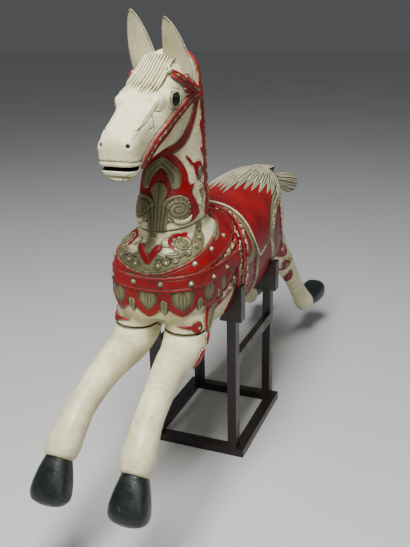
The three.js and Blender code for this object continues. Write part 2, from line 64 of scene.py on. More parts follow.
# The block forms of the horse.
# A form is a row of stations: x, y, z, half width, rise, drop, squareness.
trunkForm = [
    (0, -.340, .800, .036, .060, .052, 2.2),
    (0, -.333, .800, .098, .124, .080, 2.5),
    (0, -.305, .804, .139, .164, .100, 2.7),
    (0, -.240, .806, .168, .182, .136, 2.7),
    (0, -.130, .804, .185, .186, .190, 2.5),
    (0, .020, .792, .189, .194, .238, 2.3),
    (0, .240, .780, .187, .204, .244, 2.3),
    (0, .460, .772, .186, .226, .246, 2.3),
    (0, .640, .772, .170, .230, .230, 2.3),
    (0, .780, .776, .142, .214, .190, 2.3),
    (0, .900, .786, .104, .178, .140, 2.3),
    (0, .985, .800, .060, .126, .082, 2.2),
    (0, 1.012, .806, .022, .050, .030, 2),
]
neckForm = [
    (0, -.118, .900, .100, .168, .176, 2.3),
    (0, -.118, 1.004, .099, .166, .176, 2.4),
    (0, -.112, 1.080, .096, .150, .156, 2.4),
    (0, -.103, 1.150, .093, .132, .142, 2.4),
    (0, -.092, 1.230, .090, .108, .130, 2.3),
    (0, -.082, 1.330, .086, .100, .120, 2.3),
    (0, -.076, 1.430, .082, .108, .106, 2.2),
    (0, -.076, 1.510, .070, .092, .084, 2.2),
    (0, -.080, 1.548, .044, .050, .044, 2),
]
headForm = [
    (0, -.508, 1.288, .034, .020, .046, 2.6),
    (0, -.501, 1.286, .052, .044, .062, 3),
    (0, -.474, 1.286, .062, .066, .066, 3.6),
    (0, -.424, 1.302, .061, .084, .074, 3.4),
    (0, -.372, 1.324, .065, .094, .078, 3.4),
    (0, -.326, 1.350, .083, .102, .090, 3.2),
    (0, -.272, 1.376, .086, .118, .114, 2.8),
    (0, -.220, 1.400, .086, .132, .138, 2.6),
    (0, -.160, 1.422, .082, .132, .150, 2.4),
    (0, -.100, 1.440, .076, .120, .130, 2.2),
    (0, -.045, 1.450, .056, .084, .084, 2),
    (0, -.020, 1.452, .024, .034, .034, 2),
]
earForm = [
    (.057, -.150, 1.462, .040, .018, .026, 2),
    (.058, -.170, 1.512, .046, .015, .025, 2),
    (.059, -.198, 1.574, .039, .010, .021, 2),
    (.057, -.230, 1.630, .024, .006, .014, 2),
    (.055, -.251, 1.660, .009, .003, .007, 2),
    (.054, -.256, 1.667, .002, .001, .002, 2),
]
foreLegForm = [
    (.128, -.739, .404, .040, .040, .044, 2.1),
    (.128, -.730, .413, .049, .047, .050, 2.1),
    (.126, -.708, .434, .053, .051, .056, 2.2),
    (.123, -.672, .466, .050, .049, .053, 2.2),
    (.118, -.613, .508, .046, .046, .047, 2.1),
    (.112, -.545, .541, .047, .048, .049, 2.1),
    (.106, -.470, .568, .051, .053, .054, 2.1),
    (.099, -.385, .587, .058, .060, .060, 2.1),
    (.096, -.312, .600, .069, .057, .064, 2.1),
    (.093, -.246, .628, .076, .112, .068, 2.1),
    (.090, -.196, .684, .080, .122, .072, 2.1),
    (.086, -.160, .752, .080, .070, .074, 2.1),
]
hindLegForm = [
    (.080, .690, .712, .070, .092, .092, 2.1),
    (.098, .762, .646, .060, .080, .082, 2.1),
    (.115, .834, .566, .050, .062, .066, 2.1),
    (.130, .902, .486, .042, .050, .052, 2.1),
    (.140, .966, .414, .038, .042, .043, 2.1),
    (.146, 1.040, .336, .039, .040, .042, 2.1),
    (.151, 1.105, .272, .043, .043, .045, 2.1),
    (.155, 1.160, .220, .049, .049, .050, 2.1),
    (.157, 1.190, .192, .046, .046, .046, 2.1),
    (.158, 1.207, .176, .028, .028, .028, 2),
]
foreHoofForm = [
    (.133, -.808, .280, .026, .020, .024, 2.2),
    (.133, -.803, .288, .050, .036, .040, 2.5),
    (.133, -.794, .304, .062, .046, .051, 2.6),
    (.132, -.778, .332, .062, .049, .053, 2.5),
    (.131, -.754, .370, .053, .045, .049, 2.3),
    (.129, -.734, .402, .041, .038, .042, 2.2),
    (.128, -.722, .422, .034, .032, .036, 2.1),
]
hindHoofForm = [
    (.158, 1.192, .200, .034, .034, .036, 2.1),
    (.160, 1.226, .204, .042, .042, .042, 2.2),
    (.164, 1.270, .208, .052, .050, .052, 2.4),
    (.168, 1.320, .210, .060, .056, .056, 2.5),
    (.171, 1.358, .210, .060, .054, .054, 2.5),
    (.172, 1.374, .210, .046, .042, .042, 2.3),
    (.173, 1.380, .210, .020, .018, .018, 2),
]


def stationAt(form, t):  # a smooth cubic through the stations
    last = len(form) - 1
    i = min(max(int(t), 0), last - 1)
    f = t - i
    before, here, there, after = (np.array(form[k]) for k in (max(i - 1, 0), i, i + 1, min(i + 2, last)))
    leave, arrive, rise = (there - before) / 2, (after - here) / 2, there - here
    return here + leave * f + (3 * rise - 2 * leave - arrive) * f ** 2 + (leave + arrive - 2 * rise) * f ** 3


squareAxes = {"y": Vector((0, 1, 0)), "z": Vector((0, 0, 1))}


def ringAt(form, t, sides, grow, upright):
    x, y, z, half, rise, drop, square = stationAt(form, t)
    along = stationAt(form, min(t + .02, len(form) - 1))[:3] - stationAt(form, max(t - .02, 0))[:3]
    along = squareAxes[upright] if upright else Vector(along).normalized()
    side = (Vector((1, 0, 0)) - along * along.x).normalized()
    up = side.cross(along)
    ring = []
    for s in range(sides):
        angle = 2 * math.pi * s / sides
        a, b = math.sin(angle), math.cos(angle)
        across = math.copysign(abs(a) ** (2 / square), a) * (half + grow)
        height = math.copysign(abs(b) ** (2 / square), b) * ((rise if b > 0 else drop) + grow)
        ring.append(Vector((x, y + standFront, z)) + side * across + up * height)
    return ring


def loft(name, form, rings, sides, start=0, end=None, grow=0, upright=None, mirror=False):
    end = len(form) - 1 if end is None else end
    shape = bmesh.new()
    loops = []
    for r in range(rings + 1):
        ring = ringAt(form, start + (end - start) * r / rings, sides, grow, upright)
        loops.append([shape.verts.new((-p.x if mirror else p.x, p.y, p.z)) for p in ring])
    for lower, upper in zip(loops, loops[1:]):
        for s in range(sides):
            shape.faces.new((lower[s - 1], lower[s], upper[s], upper[s - 1]))
    shape.faces.new(loops[0])
    shape.faces.new(loops[-1])
    bmesh.ops.recalc_face_normals(shape, faces=shape.faces)
    mesh = bpy.data.meshes.new(name)
    shape.to_mesh(mesh)
    shape.free()
    piece = bpy.data.objects.new(name, mesh)
    bpy.context.scene.collection.objects.link(piece)
    return piece


# Ways of working.
smoothFactor = .5
pieceLimits = {"ease": .012, "triangles": 190000}


def pick(*pieces):
    bpy.ops.object.select_all(action="DESELECT")
    for piece in pieces:
        piece.select_set(True)
    bpy.context.view_layer.objects.active = pieces[0]


def applyAll(piece):
    pick(piece)
    for modifier in list(piece.modifiers):
        bpy.ops.object.modifier_apply(modifier=modifier.name)


def modify(piece, kind, **values):
    modifier = piece.modifiers.new(kind, kind)
    for key, value in values.items():
        setattr(modifier, key, value)


def fuse(name, pieces, voxel, smoothing):  # one block out of several, its edges eased
    pick(*pieces)
    bpy.ops.object.join()
    piece = bpy.context.view_layer.objects.active
    piece.name = name
    modify(piece, "REMESH", mode="VOXEL", voxel_size=voxel)
    modify(piece, "SMOOTH", iterations=smoothing, factor=smoothFactor)
    applyAll(piece)
    return piece


def combine(piece, operation, others):
    for other in others:
        modify(piece, "BOOLEAN", operation=operation, solver="EXACT", object=other)
    applyAll(piece)
    for other in others:
        bpy.data.objects.remove(other)


def cut(piece, *cutters):
    combine(piece, "DIFFERENCE", cutters)


def join(piece, *others):
    combine(piece, "UNION", others)


def points(piece):
    values = np.empty(len(piece.data.vertices) * 3)
    piece.data.vertices.foreach_get("co", values)
    return values.reshape(-1, 3)


def normals(piece):
    values = np.empty(len(piece.data.vertices) * 3, np.float32)
    piece.data.vertices.foreach_get("normal", values)
    return values.reshape(-1, 3).astype(float)


def millimetres(piece):  # its points, counted from the stand's front face
    return (points(piece) - frontShift) * 1000


def skinOf(piece):
    return BVHTree.FromPolygons(millimetres(piece).tolist(),
                                [tuple(face.vertices) for face in piece.data.polygons])


def movePoints(piece, places):
    piece.data.vertices.foreach_set("co", places.ravel())
    piece.data.update()


def keepInside(piece):  # what stands out of the model's box is eased back over its last centimetre
    here, ease = points(piece), pieceLimits["ease"]
    for axis in (0, 1):
        size, limit = np.abs(here[:, axis]), cadBox[1][axis]
        if size.max() > limit:
            over = np.maximum(size - limit + ease, 0)
            here[:, axis] = np.sign(here[:, axis]) * (size - over * (1 - ease / over.max()))
            movePoints(piece, here)


def triangles(piece):
    return sum(len(face.vertices) - 2 for face in piece.data.polygons)


def keepLight(piece):  # flat places give up faces until the piece has few enough triangles
    count, most = triangles(piece), pieceLimits["triangles"]
    if count > most:
        modify(piece, "DECIMATE", ratio=most / count)
        applyAll(piece)


def finishPiece(piece, finish, slotName, *nodes):
    keepLight(piece)
    keepInside(piece)
    piece.data.materials.clear()
    piece.data.materials.append(finish)
    pick(piece)
    bpy.ops.object.shade_smooth()
    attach(piece, "root")
    if nodes:
        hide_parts(*nodes)
    print("made", piece.name, triangles(piece), "triangles")


# Carving: relief and paint drawn on a skin, in millimetres.
farOff = 9  # as far as an edge of paint is followed
skinReach = 45  # what lies further above or below a line is another side of the piece
paintNames = ("hair", "red", "gold", "dark")
baseCharts = {  # charts flatten the skin: how far along per degree, and the axis that they turn about
    "neckFront": {"scale": 2.0, "turned": 4.5, "y": -100},
    "neckSide": {"scale": 2.0, "turned": 0, "y": -100},
    "girdle": {"scale": 3.4, "turned": 0, "y": -130},
}
barrelChart = {"scale": 3.3, "z": 790}


def eased(value):
    value = np.clip(value, 0, 1)
    return value * value * (3 - 2 * value)


def sampled(way, step=3):  # close points along a smooth line through the given ones
    rows = np.array(way, float)
    length = np.linalg.norm(np.diff(rows, axis=0), axis=1).sum()
    count = max(8, int(length / step))
    return np.array([stationAt(rows, t) for t in np.linspace(0, len(rows) - 1, count)])


def outlined(corners):  # a closed smooth outline; a corner given twice stays sharp
    rows = [corners[-1], *corners, corners[0], corners[1]]
    return np.array([stationAt(rows, 1 + t) for t in np.linspace(0, len(corners), 5 * len(corners),
                                                                 endpoint=False)])


class Carving:
    def __init__(self, piece):
        self.piece = piece
        self.at = millimetres(piece)
        self.out = normals(piece)
        self.skin = skinOf(piece)
        x, y, z = self.at.T
        count = len(x)
        self.spaces = {"body": self.at, "sides": np.column_stack((abs(x), y, z))}
        for name, chart in baseCharts.items():
            turn = np.degrees(np.arctan2(x, chart["y"] - y)) - chart["turned"]
            self.spaces[name] = np.column_stack((abs(turn) * chart["scale"], z, np.zeros(count)))
        turn = np.degrees(np.arctan2(abs(x), z - barrelChart["z"]))
        self.spaces["barrel"] = np.column_stack((turn * barrelChart["scale"], y, np.zeros(count)))
        self.level, self.paintedShade = np.zeros(count), np.zeros(count)
        self.fields = {name: np.full(count, float(farOff)) for name in (*paintNames, "line")}
        self.allowed = {name: np.ones(count, bool) for name in self.spaces}

    def scaled(self, space, way):
        scale = {**{name: chart["scale"] for name, chart in baseCharts.items()}, "barrel": barrelChart["scale"]}
        return [(a * scale[space], b, 0) for a, b in way] if space in scale else way

    def near(self, space, low, high):
        at = self.spaces[space]
        return np.flatnonzero(np.all((at > low) & (at < high), axis=1) & self.allowed[space])

    def follow(self, space, way, half):
        line = sampled(self.scaled(space, way))
        up = np.tile((0., 0., 1.), (len(line), 1))
        if space in ("body", "sides"):
            found = [self.skin.find_nearest(Vector(p)) for p in line]
            line = np.array([tuple(hit[0]) for hit in found])
            up = np.array([tuple(hit[1]) for hit in found])
        shares = np.linspace(0, 1, len(line))
        widest = np.max(half(shares)) if callable(half) else half
        reach = widest + farOff
        near = self.near(space, line.min(0) - reach, line.max(0) + reach)
        if not len(near):
            return near, near.astype(float), near.astype(float), near.astype(float)
        at = self.spaces[space][near]
        closest = ((at ** 2).sum(1)[:, None] + (line ** 2).sum(1)[None] - 2 * at @ line.T).argmin(1)
        ahead = np.gradient(line, axis=0)
        pitch = np.linalg.norm(ahead, axis=1)
        ahead /= pitch[:, None]
        side = np.cross(ahead, up)
        gap = at - line[closest]
        run = (gap * ahead[closest]).sum(1)
        across = (gap * side[closest]).sum(1)
        height = (gap * up[closest]).sum(1)
        last = len(line) - 1
        share = np.clip((closest + run / pitch[closest]) / last, 0, 1)
        past = np.where(closest == 0, np.maximum(-run, 0), np.where(closest == last, np.maximum(run, 0), 0))
        width = half(share) if callable(half) else half
        distance = np.hypot(across, past) - width
        keep = (abs(height) < skinReach) & (distance < farOff)
        return near[keep], distance[keep], share[keep], across[keep]

    def lay(self, near, distance, paint, level, dome=0, soft=3.2, span=12):
        cover = eased(.5 - distance / soft)
        crown = np.clip(-distance / span, 0, 1)
        top = level + dome * np.sqrt(crown * (2 - crown))
        self.level[near] += (top - self.level[near]) * cover
        self.tint(near, distance, paint)

    def tint(self, near, distance, paint):
        for name in paintNames:
            field = self.fields[name]
            field[near] = np.minimum(field[near], distance) if name == paint else np.maximum(field[near], -distance)
        self.fields["line"][near] = np.maximum(self.fields["line"][near], -distance)

    def line(self, space, way, half, paint, level, dome=0, soft=3.2, span=12):
        near, distance, share, across = self.follow(space, way, half)
        self.lay(near, distance, paint, level, dome, soft, span)
        return near, distance, share, across

    def score(self, space, way, depth=1.2, width=3):  # a fine carved line
        near, distance, _, _ = self.follow(space, way, 0)
        self.groove(near, distance, depth, width)

    def groove(self, near, distance, depth, width=3):
        self.level[near] -= depth * eased(1 - abs(distance) / width)
        # the groove's line takes the dark groove colour: dark joints and grime, with painted shade along the groove
        self.fields["line"][near] = np.minimum(self.fields["line"][near], abs(distance))

    def hollow(self, near, distance, shade):  # painted shade: a deeper tone laid into a hollow
        self.paintedShade[near] -= shade * eased(.5 - distance / 4)

    def strap(self, space, way, half, level, paint="red", rib=5, ribRise=1.8):
        near, distance, _, _ = self.line(space, way, half, paint, level)
        inside = distance < 2
        raised = ribRise * eased(1.4 - abs(distance + rib) / (rib * .7))
        self.level[near[inside]] += raised[inside]
        self.groove(near[inside], (distance + 2.1 * rib)[inside], 1.2, 2.6)
        self.groove(near, distance - 1, 1, 2.6)

    def area(self, space, corners, paint, level, dome=0, soft=3.2, span=12):
        outline = outlined(self.scaled(space, corners))
        near = self.near(space, np.append(outline.min(0)[:2] - farOff, -1), np.append(outline.max(0)[:2] + farOff, 1))
        at = self.spaces[space][near][:, :2]
        closest = np.full(len(near), 1e9)
        inside = np.zeros(len(near), bool)
        for start, end in zip(outline[:, :2], np.roll(outline[:, :2], -1, axis=0)):
            edge, gap = end - start, at - start
            share = np.clip(gap @ edge / max(edge @ edge, 1e-9), 0, 1)
            closest = np.minimum(closest, ((gap - share[:, None] * edge) ** 2).sum(1))
            crosses = (at[:, 1] < start[1]) != (at[:, 1] < end[1])
            rise = edge[1] if abs(edge[1]) > 1e-9 else 1e-9
            inside ^= crosses & (at[:, 0] < start[0] + (at[:, 1] - start[1]) * edge[0] / rise)
        distance = np.sqrt(closest) * np.where(inside, -1, 1)
        keep = distance < farOff
        self.lay(near[keep], distance[keep], paint, level, dome, soft, span)
        return near[keep], distance[keep]

    def facing(self, centre):  # a place on the skin, with the ways right and up along it
        place, normal, _, _ = self.skin.find_nearest(Vector(centre))
        right = Vector((0, 0, 1)).cross(normal).normalized()
        return place, right, normal.cross(right)

    def flat(self, space, centre, radius):  # places round a centre, seen square on
        if space in ("body", "sides"):
            place, right, up = self.facing(centre)
            middle = np.array(place)
            near = self.near(space, middle - 1.6 * radius, middle + 1.6 * radius)
            gap = self.spaces[space][near] - middle
            return near, gap @ np.array(right), gap @ np.array(up)
        middle = np.array(self.scaled(space, [centre])[0])
        near = self.near(space, middle - 1.6 * radius - 1, middle + 1.6 * radius + 1)
        gap = self.spaces[space][near] - middle
        return near, gap[:, 0], gap[:, 1]

    def disc(self, space, centre, radius, paint, level, dome=3, coil=0, teeth=0, toothDepth=3, hand=1, tall=1,
             start=0):
        near, a, b = self.flat(space, centre, radius * max(tall, 1))
        b = b / tall
        reach = np.hypot(a, b)
        turn = np.arctan2(b, a * hand) + start
        distance = reach - radius - (toothDepth * np.cos(teeth * turn) if teeth else 0)
        self.lay(near, distance, paint, level, dome, span=radius)
        self.groove(near, distance, .8, 2.5)
        if coil:
            share = np.mod(reach / coil - turn / (2 * np.pi), 1)
            inside = (distance < 0) & (reach > coil * .5)
            self.groove(near[inside], (abs(share - .5) * coil)[inside], 2, coil * .34)
        return near, distance

    def curl(self, space, centre, radius, paint, level, hand=1, turns=1.5, start=0, half=.17):  # a spiral line
        ways = []
        for i in range(int(turns * 10) + 1):
            turn = math.radians(start) + hand * 2 * math.pi * i / 10
            reach = radius * (1 - .8 * i / (turns * 10))
            ways.append((reach * math.cos(turn), reach * math.sin(turn)))
        self.sketch(space, centre, ways, lambda t: radius * half * (1.2 - .5 * t), paint, level)

    def sketch(self, space, centre, way, half, paint, level, dome=2):  # a stroke given round a centre
        if space in ("body", "sides"):
            place, right, up = self.facing(centre)
            way = [tuple(place + right * a + up * b) for a, b in way]
        else:
            scale = self.scaled(space, [(1, 0)])[0][0]
            way = [(centre[0] + a / scale, centre[1] + b) for a, b in way]
        return self.line(space, way, half, paint, level, dome, span=6)

    def leaf(self, space, way, width, paint, level, dome=3, vein=True):
        near, distance, share, across = self.line(space, way, lambda t: width * np.sin(np.pi * np.clip(t, 0,
                                                                                                       1) ** .8) + .5,
                                                  paint, level, dome, span=8)
        if vein:
            inside = (distance < -1) & (share > .08) & (share < .92)
            self.groove(near[inside], across[inside], 1.5, 2.4)
        return near, distance, share, across

    def vine(self, space, way, half, ground, pitch=26, seed=3):  # small scrolls and leaves on a band
        if ground:
            self.line(space, way, half, ground, 2.5)
        rows = sampled(self.scaled(space, way), 2)
        steps = np.linalg.norm(np.diff(rows, axis=0), axis=1).cumsum()
        widths = half if callable(half) else (lambda t: half)
        chance = np.random.default_rng(seed)
        scale = self.scaled(space, [(1, 0)])[0][0] if space not in ("body", "sides") else None
        for i in range(int(steps[-1] / pitch)):
            k = int(np.searchsorted(steps, (i + .5) * pitch))
            wide = float(widths(k / len(rows)))
            centre = rows[k] if scale is None else (rows[k][0] / scale, rows[k][1])
            hand = 1 if i % 2 else -1
            size = min(wide * .62, pitch * .5)
            self.curl(space, centre, size, "gold" if chance.random() < .6 else "cream", 6, hand,
                      1.3, 90 * chance.integers(4), .2)
            for _ in range(3):
                turn = chance.random() * 2 * math.pi
                tip = ((size + wide * .45) * math.cos(turn), (size + wide * .45) * math.sin(turn))
                foot = (tip[0] * .45, tip[1] * .45)
                paint = ("cream", "gold", "red")[chance.integers(3)]
                self.sketch(space, centre, [foot, tip], lambda t: 3.4 * (1 - t) + .6, paint, 5.5)

    def seam(self, place, along, reach, top=2000):  # the dark line of a glued joint, square to the limb
        gap = self.at - np.array(place)
        near = np.flatnonzero((np.linalg.norm(gap, axis=1) < reach) & (self.at[:, 2] < top))
        self.groove(near, (gap[near] @ np.array(along)), 1.4, 4)

    def finish(self):
        mesh = self.piece.data
        ends = np.empty(len(mesh.edges) * 2, int)
        mesh.edges.foreach_get("vertices", ends)
        first, second = ends.reshape(-1, 2).T
        count = np.bincount(first, minlength=len(self.level)) + np.bincount(second, minlength=len(self.level))
        mean = self.level.copy()
        for _ in range(4):
            total = np.bincount(first, mean[second], len(mean)) + np.bincount(second, mean[first], len(mean))
            mean = total / np.maximum(count, 1)
        # crease drives the coat: hollows below zero take painted shade and grime, crests above it the worn colour,
        # and paintedShade deepens it
        crease = self.level - mean + self.paintedShade
        movePoints(self.piece, (self.at + self.out * self.level[:, None]) / 1000 + frontShift)
        for name, values in {**self.fields, "crease": crease}.items():
            attribute = mesh.attributes.new(name, "FLOAT", "POINT")
            attribute.data.foreach_set("value", np.clip(values, -farOff, farOff).astype(np.float32))


# Paints.
def newGroup(name, inputs, outputs):
    group = bpy.data.node_groups.new(name, "ShaderNodeTree")
    for label, kind in inputs:
        group.interface.new_socket(name=label, in_out="INPUT", socket_type="NodeSocket" + kind)
    for label, kind in outputs:
        group.interface.new_socket(name=label, in_out="OUTPUT", socket_type="NodeSocket" + kind)
    return group, group.nodes.new("NodeGroupInput").outputs, group.nodes.new("NodeGroupOutput").inputs


def give(tree, socket, value):
    if isinstance(value, bpy.types.NodeSocket):
        tree.links.new(value, socket)
    elif isinstance(value, tuple) and socket.type == "RGBA":
        socket.default_value = (*value, 1)
    else:
        socket.default_value = value


def node(tree, kind, links=None, **settings):
    made = tree.nodes.new("ShaderNode" + kind)
    for key, value in settings.items():
        setattr(made, key, value)
    for key, value in (links or {}).items():
        give(tree, made.inputs[key], value)
    return made


def reckon(tree, operation, *values, clamp=False):
    return node(tree, "Math", dict(enumerate(values)), operation=operation, use_clamp=clamp).outputs[0]


def blend(tree, share, first, second):
    made = node(tree, "Mix", data_type="RGBA")
    for key, value in ((0, share), (6, first), (7, second)):
        give(tree, made.inputs[key], value)
    return made.outputs[2]


def spread(tree, value, low, high, start=0, end=1):  # a range of values stretched, and held at its ends
    return node(tree, "MapRange", {0: value, 1: low, 2: high, 3: start, 4: end}).outputs[0]


def noise(tree, where, scale, detail=3, roughness=.5):
    return node(tree, "TexNoise", {"Vector": where, "Scale": scale, "Detail": detail,
                                   "Roughness": roughness}).outputs[0]


def makeChips():  # small flaked spots, gathered in patches
    group, given, made = newGroup("chips", [("Where", "Vector"), ("Amount", "Float"), ("Scale", "Float")],
                                  [("Mask", "Float")])
    spots = noise(group, given["Where"], given["Scale"], 5, .7)
    patches = noise(group, given["Where"], 9.0, 2)
    level = reckon(group, "ADD", spots, reckon(group, "MULTIPLY", patches, .22))
    edge = reckon(group, "SUBTRACT", .86, given["Amount"])
    sharp = reckon(group, "MULTIPLY", reckon(group, "SUBTRACT", level, edge), 30.0, clamp=True)
    group.links.new(sharp, made["Mask"])
    return group


def makeCracks():  # hairlines that run along the grain
    group, given, made = newGroup("cracks", [("Where", "Vector"), ("Amount", "Float")], [("Mask", "Float")])
    bent = node(group, "VectorMath", {0: noise(group, given["Where"], 14.0, 3), 1: (.035, .035, .035)},
                operation="MULTIPLY")
    moved = node(group, "VectorMath", {0: given["Where"], 1: bent.outputs[0]}, operation="ADD")
    long = node(group, "VectorMath", {0: moved.outputs[0], 1: (1.0, .38, 1.0)}, operation="MULTIPLY")
    cells = node(group, "TexVoronoi", {"Vector": long.outputs[0], "Scale": 13.0},
                 feature="DISTANCE_TO_EDGE").outputs[0]
    thin = spread(group, cells, .0, .009, 1.0, .0)
    some = spread(group, noise(group, given["Where"], 6.0, 2), .55, .66)
    mask = reckon(group, "MULTIPLY", reckon(group, "MULTIPLY", thin, some), given["Amount"])
    group.links.new(mask, made["Mask"])
    return group


def makeCoat():  # one coat of old paint: its colour from painted shade and grime in the hollows to the worn edge
    inputs = [("Where", "Vector"), ("Crease", "Float"), ("Light", "Color"), ("Deep", "Color"),
              ("ShadeAndGrime", "Color"),
              ("Worn", "Color"), ("Hold", "Float")]
    group, given, made = newGroup("coat", inputs, [("Color", "Color")])
    broad = spread(group, noise(group, given["Where"], 11.0, 4, .6), .32, .68)
    colour = blend(group, broad, given["Deep"], given["Light"])
    ragged = reckon(group, "MULTIPLY", reckon(group, "SUBTRACT", noise(group, given["Where"], 60.0, 4, .65),
                                              .5),
                    2.2)
    crease = reckon(group, "ADD", given["Crease"], ragged)
    # painted shade: hollows, where the crease falls below zero, take the ShadeAndGrime colour
    hollow = reckon(group, "MULTIPLY", spread(group, crease, -.2, -1.7), given["Hold"])
    colour = blend(group, hollow, colour, given["ShadeAndGrime"])
    worn = spread(group, crease, 1.5, 3.6, .0, .6)
    group.links.new(blend(group, worn, colour, given["Worn"]), made["Color"])
    return group


# ShadeAndGrime is painted shade for each paint's hollows, with olive grime in it on the cream
paintColours = {
    "cream": {"Light": (.81, .76, .50), "Deep": (.62, .57, .33), "ShadeAndGrime": (.12, .105, .04),
              "Worn": (.88, .85, .68), "Hold": .95},
    "red": {"Light": (.27, .0025, .0045), "Deep": (.15, .002, .0035), "ShadeAndGrime": (.022, .001, .0015),
            "Worn": (.56, .12, .12), "Hold": 1.0},
    "gold": {"Light": (.235, .205, .105), "Deep": (.13, .125, .062), "ShadeAndGrime": (.018, .020, .011),
             "Worn": (.52, .48, .33), "Hold": 1.0},
    "hair": {"Light": (.56, .52, .36), "Deep": (.36, .34, .21), "ShadeAndGrime": (.05, .05, .022),
             "Worn": (.78, .74, .60), "Hold": 1.0},
}
tones = {
    "dirt": (.42, .385, .22), "smudge": (.36, .34, .20), "bareWood": ((.16, .12, .075), (.50, .46, .36)),
    "crackAndGrooveShade": (.075, .06, .035), "eye": (.008, .008, .009),
    "hoof": ((.0035, .0045, .0045), (.011, .017, .015)), "hoofChip": (.10, .13, .095),
    "stand": ((.0045, .0032, .0032), (.020, .011, .009)), "standChip": (.10, .055, .035),
    "floor": ((.46, .46, .455), (.52, .52, .515)),
}
horsePaintWork = {"wobbleScale": 120.0, "dirtScale": 6.5, "smudgeScale": 38.0, "chips": .05, "chipScale": 110.0,
                  "cracks": .5,
                  "shine": .32, "goldShine": .2, "brushScale": 210.0, "relief": .0007}
chipsGroup, cracksGroup, coatGroup = makeChips(), makeCracks(), makeCoat()


def attribute(tree, name):
    return node(tree, "Attribute", attribute_name=name).outputs["Fac"]


def grouped(tree, group, **links):
    made = tree.nodes.new("ShaderNodeGroup")
    made.node_tree = group
    for key, value in links.items():
        give(tree, made.inputs[key], value)
    return made.outputs[0]


def newMaterial(name):
    material = bpy.data.materials.new(name)
    material.use_nodes = True
    tree = material.node_tree
    return material, tree, tree.nodes["Principled BSDF"], node(tree, "TexCoord").outputs["Object"]


def bumped(tree, shader, height, distance):
    bump = node(tree, "Bump", {"Height": height, "Distance": distance, "Strength": 1.0})
    tree.links.new(bump.outputs[0], shader.inputs["Normal"])


def makeHorsePaint():
    material, tree, shader, where = newMaterial("horsePaint")
    w = horsePaintWork
    crease = attribute(tree, "crease")
    wobble = reckon(tree, "MULTIPLY", reckon(tree, "SUBTRACT", noise(tree, where, w["wobbleScale"], 2), .5),
                    2.4)
    coats = {}
    for name, colours in paintColours.items():
        coats[name] = grouped(tree, coatGroup, Where=where, Crease=crease, **colours)
    dirt = spread(tree, noise(tree, where, w["dirtScale"], 6, .66), .44, .64, .0, .55)
    coats["cream"] = blend(tree, dirt, coats["cream"], tones["dirt"])
    streaks = node(tree, "VectorMath", {0: where, 1: (1.0, .35, 1.6)}, operation="MULTIPLY").outputs[0]
    smudge = spread(tree, noise(tree, streaks, w["smudgeScale"], 5, .7), .51, .68, .0, .5)
    coats["cream"] = blend(tree, smudge, coats["cream"], tones["smudge"])
    masks = {}
    for name in paintNames:
        masks[name] = spread(tree, reckon(tree, "ADD", attribute(tree, name), wobble if name != "dark" else .0), .45,
                             -.45)
    colour = blend(tree, masks["hair"], coats["cream"], coats["hair"])
    colour = blend(tree, masks["red"], colour, coats["red"])
    colour = blend(tree, masks["gold"], colour, coats["gold"])
    chips = grouped(tree, chipsGroup, Where=where, Amount=w["chips"], Scale=w["chipScale"])
    cracks = grouped(tree, cracksGroup, Where=where, Amount=w["cracks"])
    line = spread(tree, reckon(tree, "ADD", attribute(tree, "line"), reckon(tree, "MULTIPLY", wobble, .3)), 2.1,
                  .9,
                  .0, .85)
    bare = blend(tree, noise(tree, where, 40.0), *tones["bareWood"])
    colour = blend(tree, chips, colour, bare)
    # cracks and carved grooves darken: real cracks, dark joints and grime, with painted shade along the grooves
    colour = blend(tree, reckon(tree, "MAXIMUM", cracks, line), colour, tones["crackAndGrooveShade"])
    # the dark mask: black paint of eye and nostrils, and painted shade inside the mouth
    colour = blend(tree, masks["dark"], colour, tones["eye"])
    tree.links.new(colour, shader.inputs["Base Color"])
    dull = spread(tree, noise(tree, where, 26.0, 4), .3, .7, .30, .50)
    rough = reckon(tree, "ADD", dull, reckon(tree, "MULTIPLY", chips, .3))
    rough = reckon(tree, "SUBTRACT", rough, reckon(tree, "MULTIPLY", masks["dark"], .16))
    tree.links.new(rough, shader.inputs["Roughness"])
    tree.links.new(reckon(tree, "MULTIPLY", masks["gold"], w["goldShine"]), shader.inputs["Metallic"])
    shader.inputs["Specular IOR Level"].default_value = w["shine"]
    brushed = noise(tree, where, w["brushScale"], 3)
    height = reckon(tree, "SUBTRACT", reckon(tree, "MULTIPLY", brushed, .35),
                    reckon(tree, "MAXIMUM", chips, cracks))
    height = reckon(tree, "SUBTRACT", height, reckon(tree, "MULTIPLY", line, 1.5))
    bumped(tree, shader, height, w["relief"])
    return material


def makeGoldPaint():
    material, tree, shader, where = newMaterial("goldPaint")
    # painted shade and grime in the studs' hollows, worn colour on their crests, read from the pointiness of the mesh
    edges = node(tree, "NewGeometry").outputs["Pointiness"]
    crease = spread(tree, edges, .44, .56, -2.5, 2.5)
    colour = grouped(tree, coatGroup, Where=where, Crease=crease, **paintColours["gold"])
    tree.links.new(colour, shader.inputs["Base Color"])
    tree.links.new(spread(tree, noise(tree, where, 50.0), .3, .7, .3, .5), shader.inputs["Roughness"])
    shader.inputs["Metallic"].default_value = .35
    bumped(tree, shader, noise(tree, where, 220.0, 3), .0004)
    return material


def makeHoofPaint():
    material, tree, shader, where = newMaterial("hoofPaint")
    chips = grouped(tree, chipsGroup, Where=where, Amount=.06, Scale=55.0)
    colour = blend(tree, noise(tree, where, 22.0, 4), *tones["hoof"])
    colour = blend(tree, chips, colour, tones["hoofChip"])
    tree.links.new(colour, shader.inputs["Base Color"])
    tree.links.new(spread(tree, noise(tree, where, 34.0, 4), .3, .7, .22, .5), shader.inputs["Roughness"])
    bumped(tree, shader, reckon(tree, "SUBTRACT", noise(tree, where, 120.0, 3), chips), .0008)
    return material


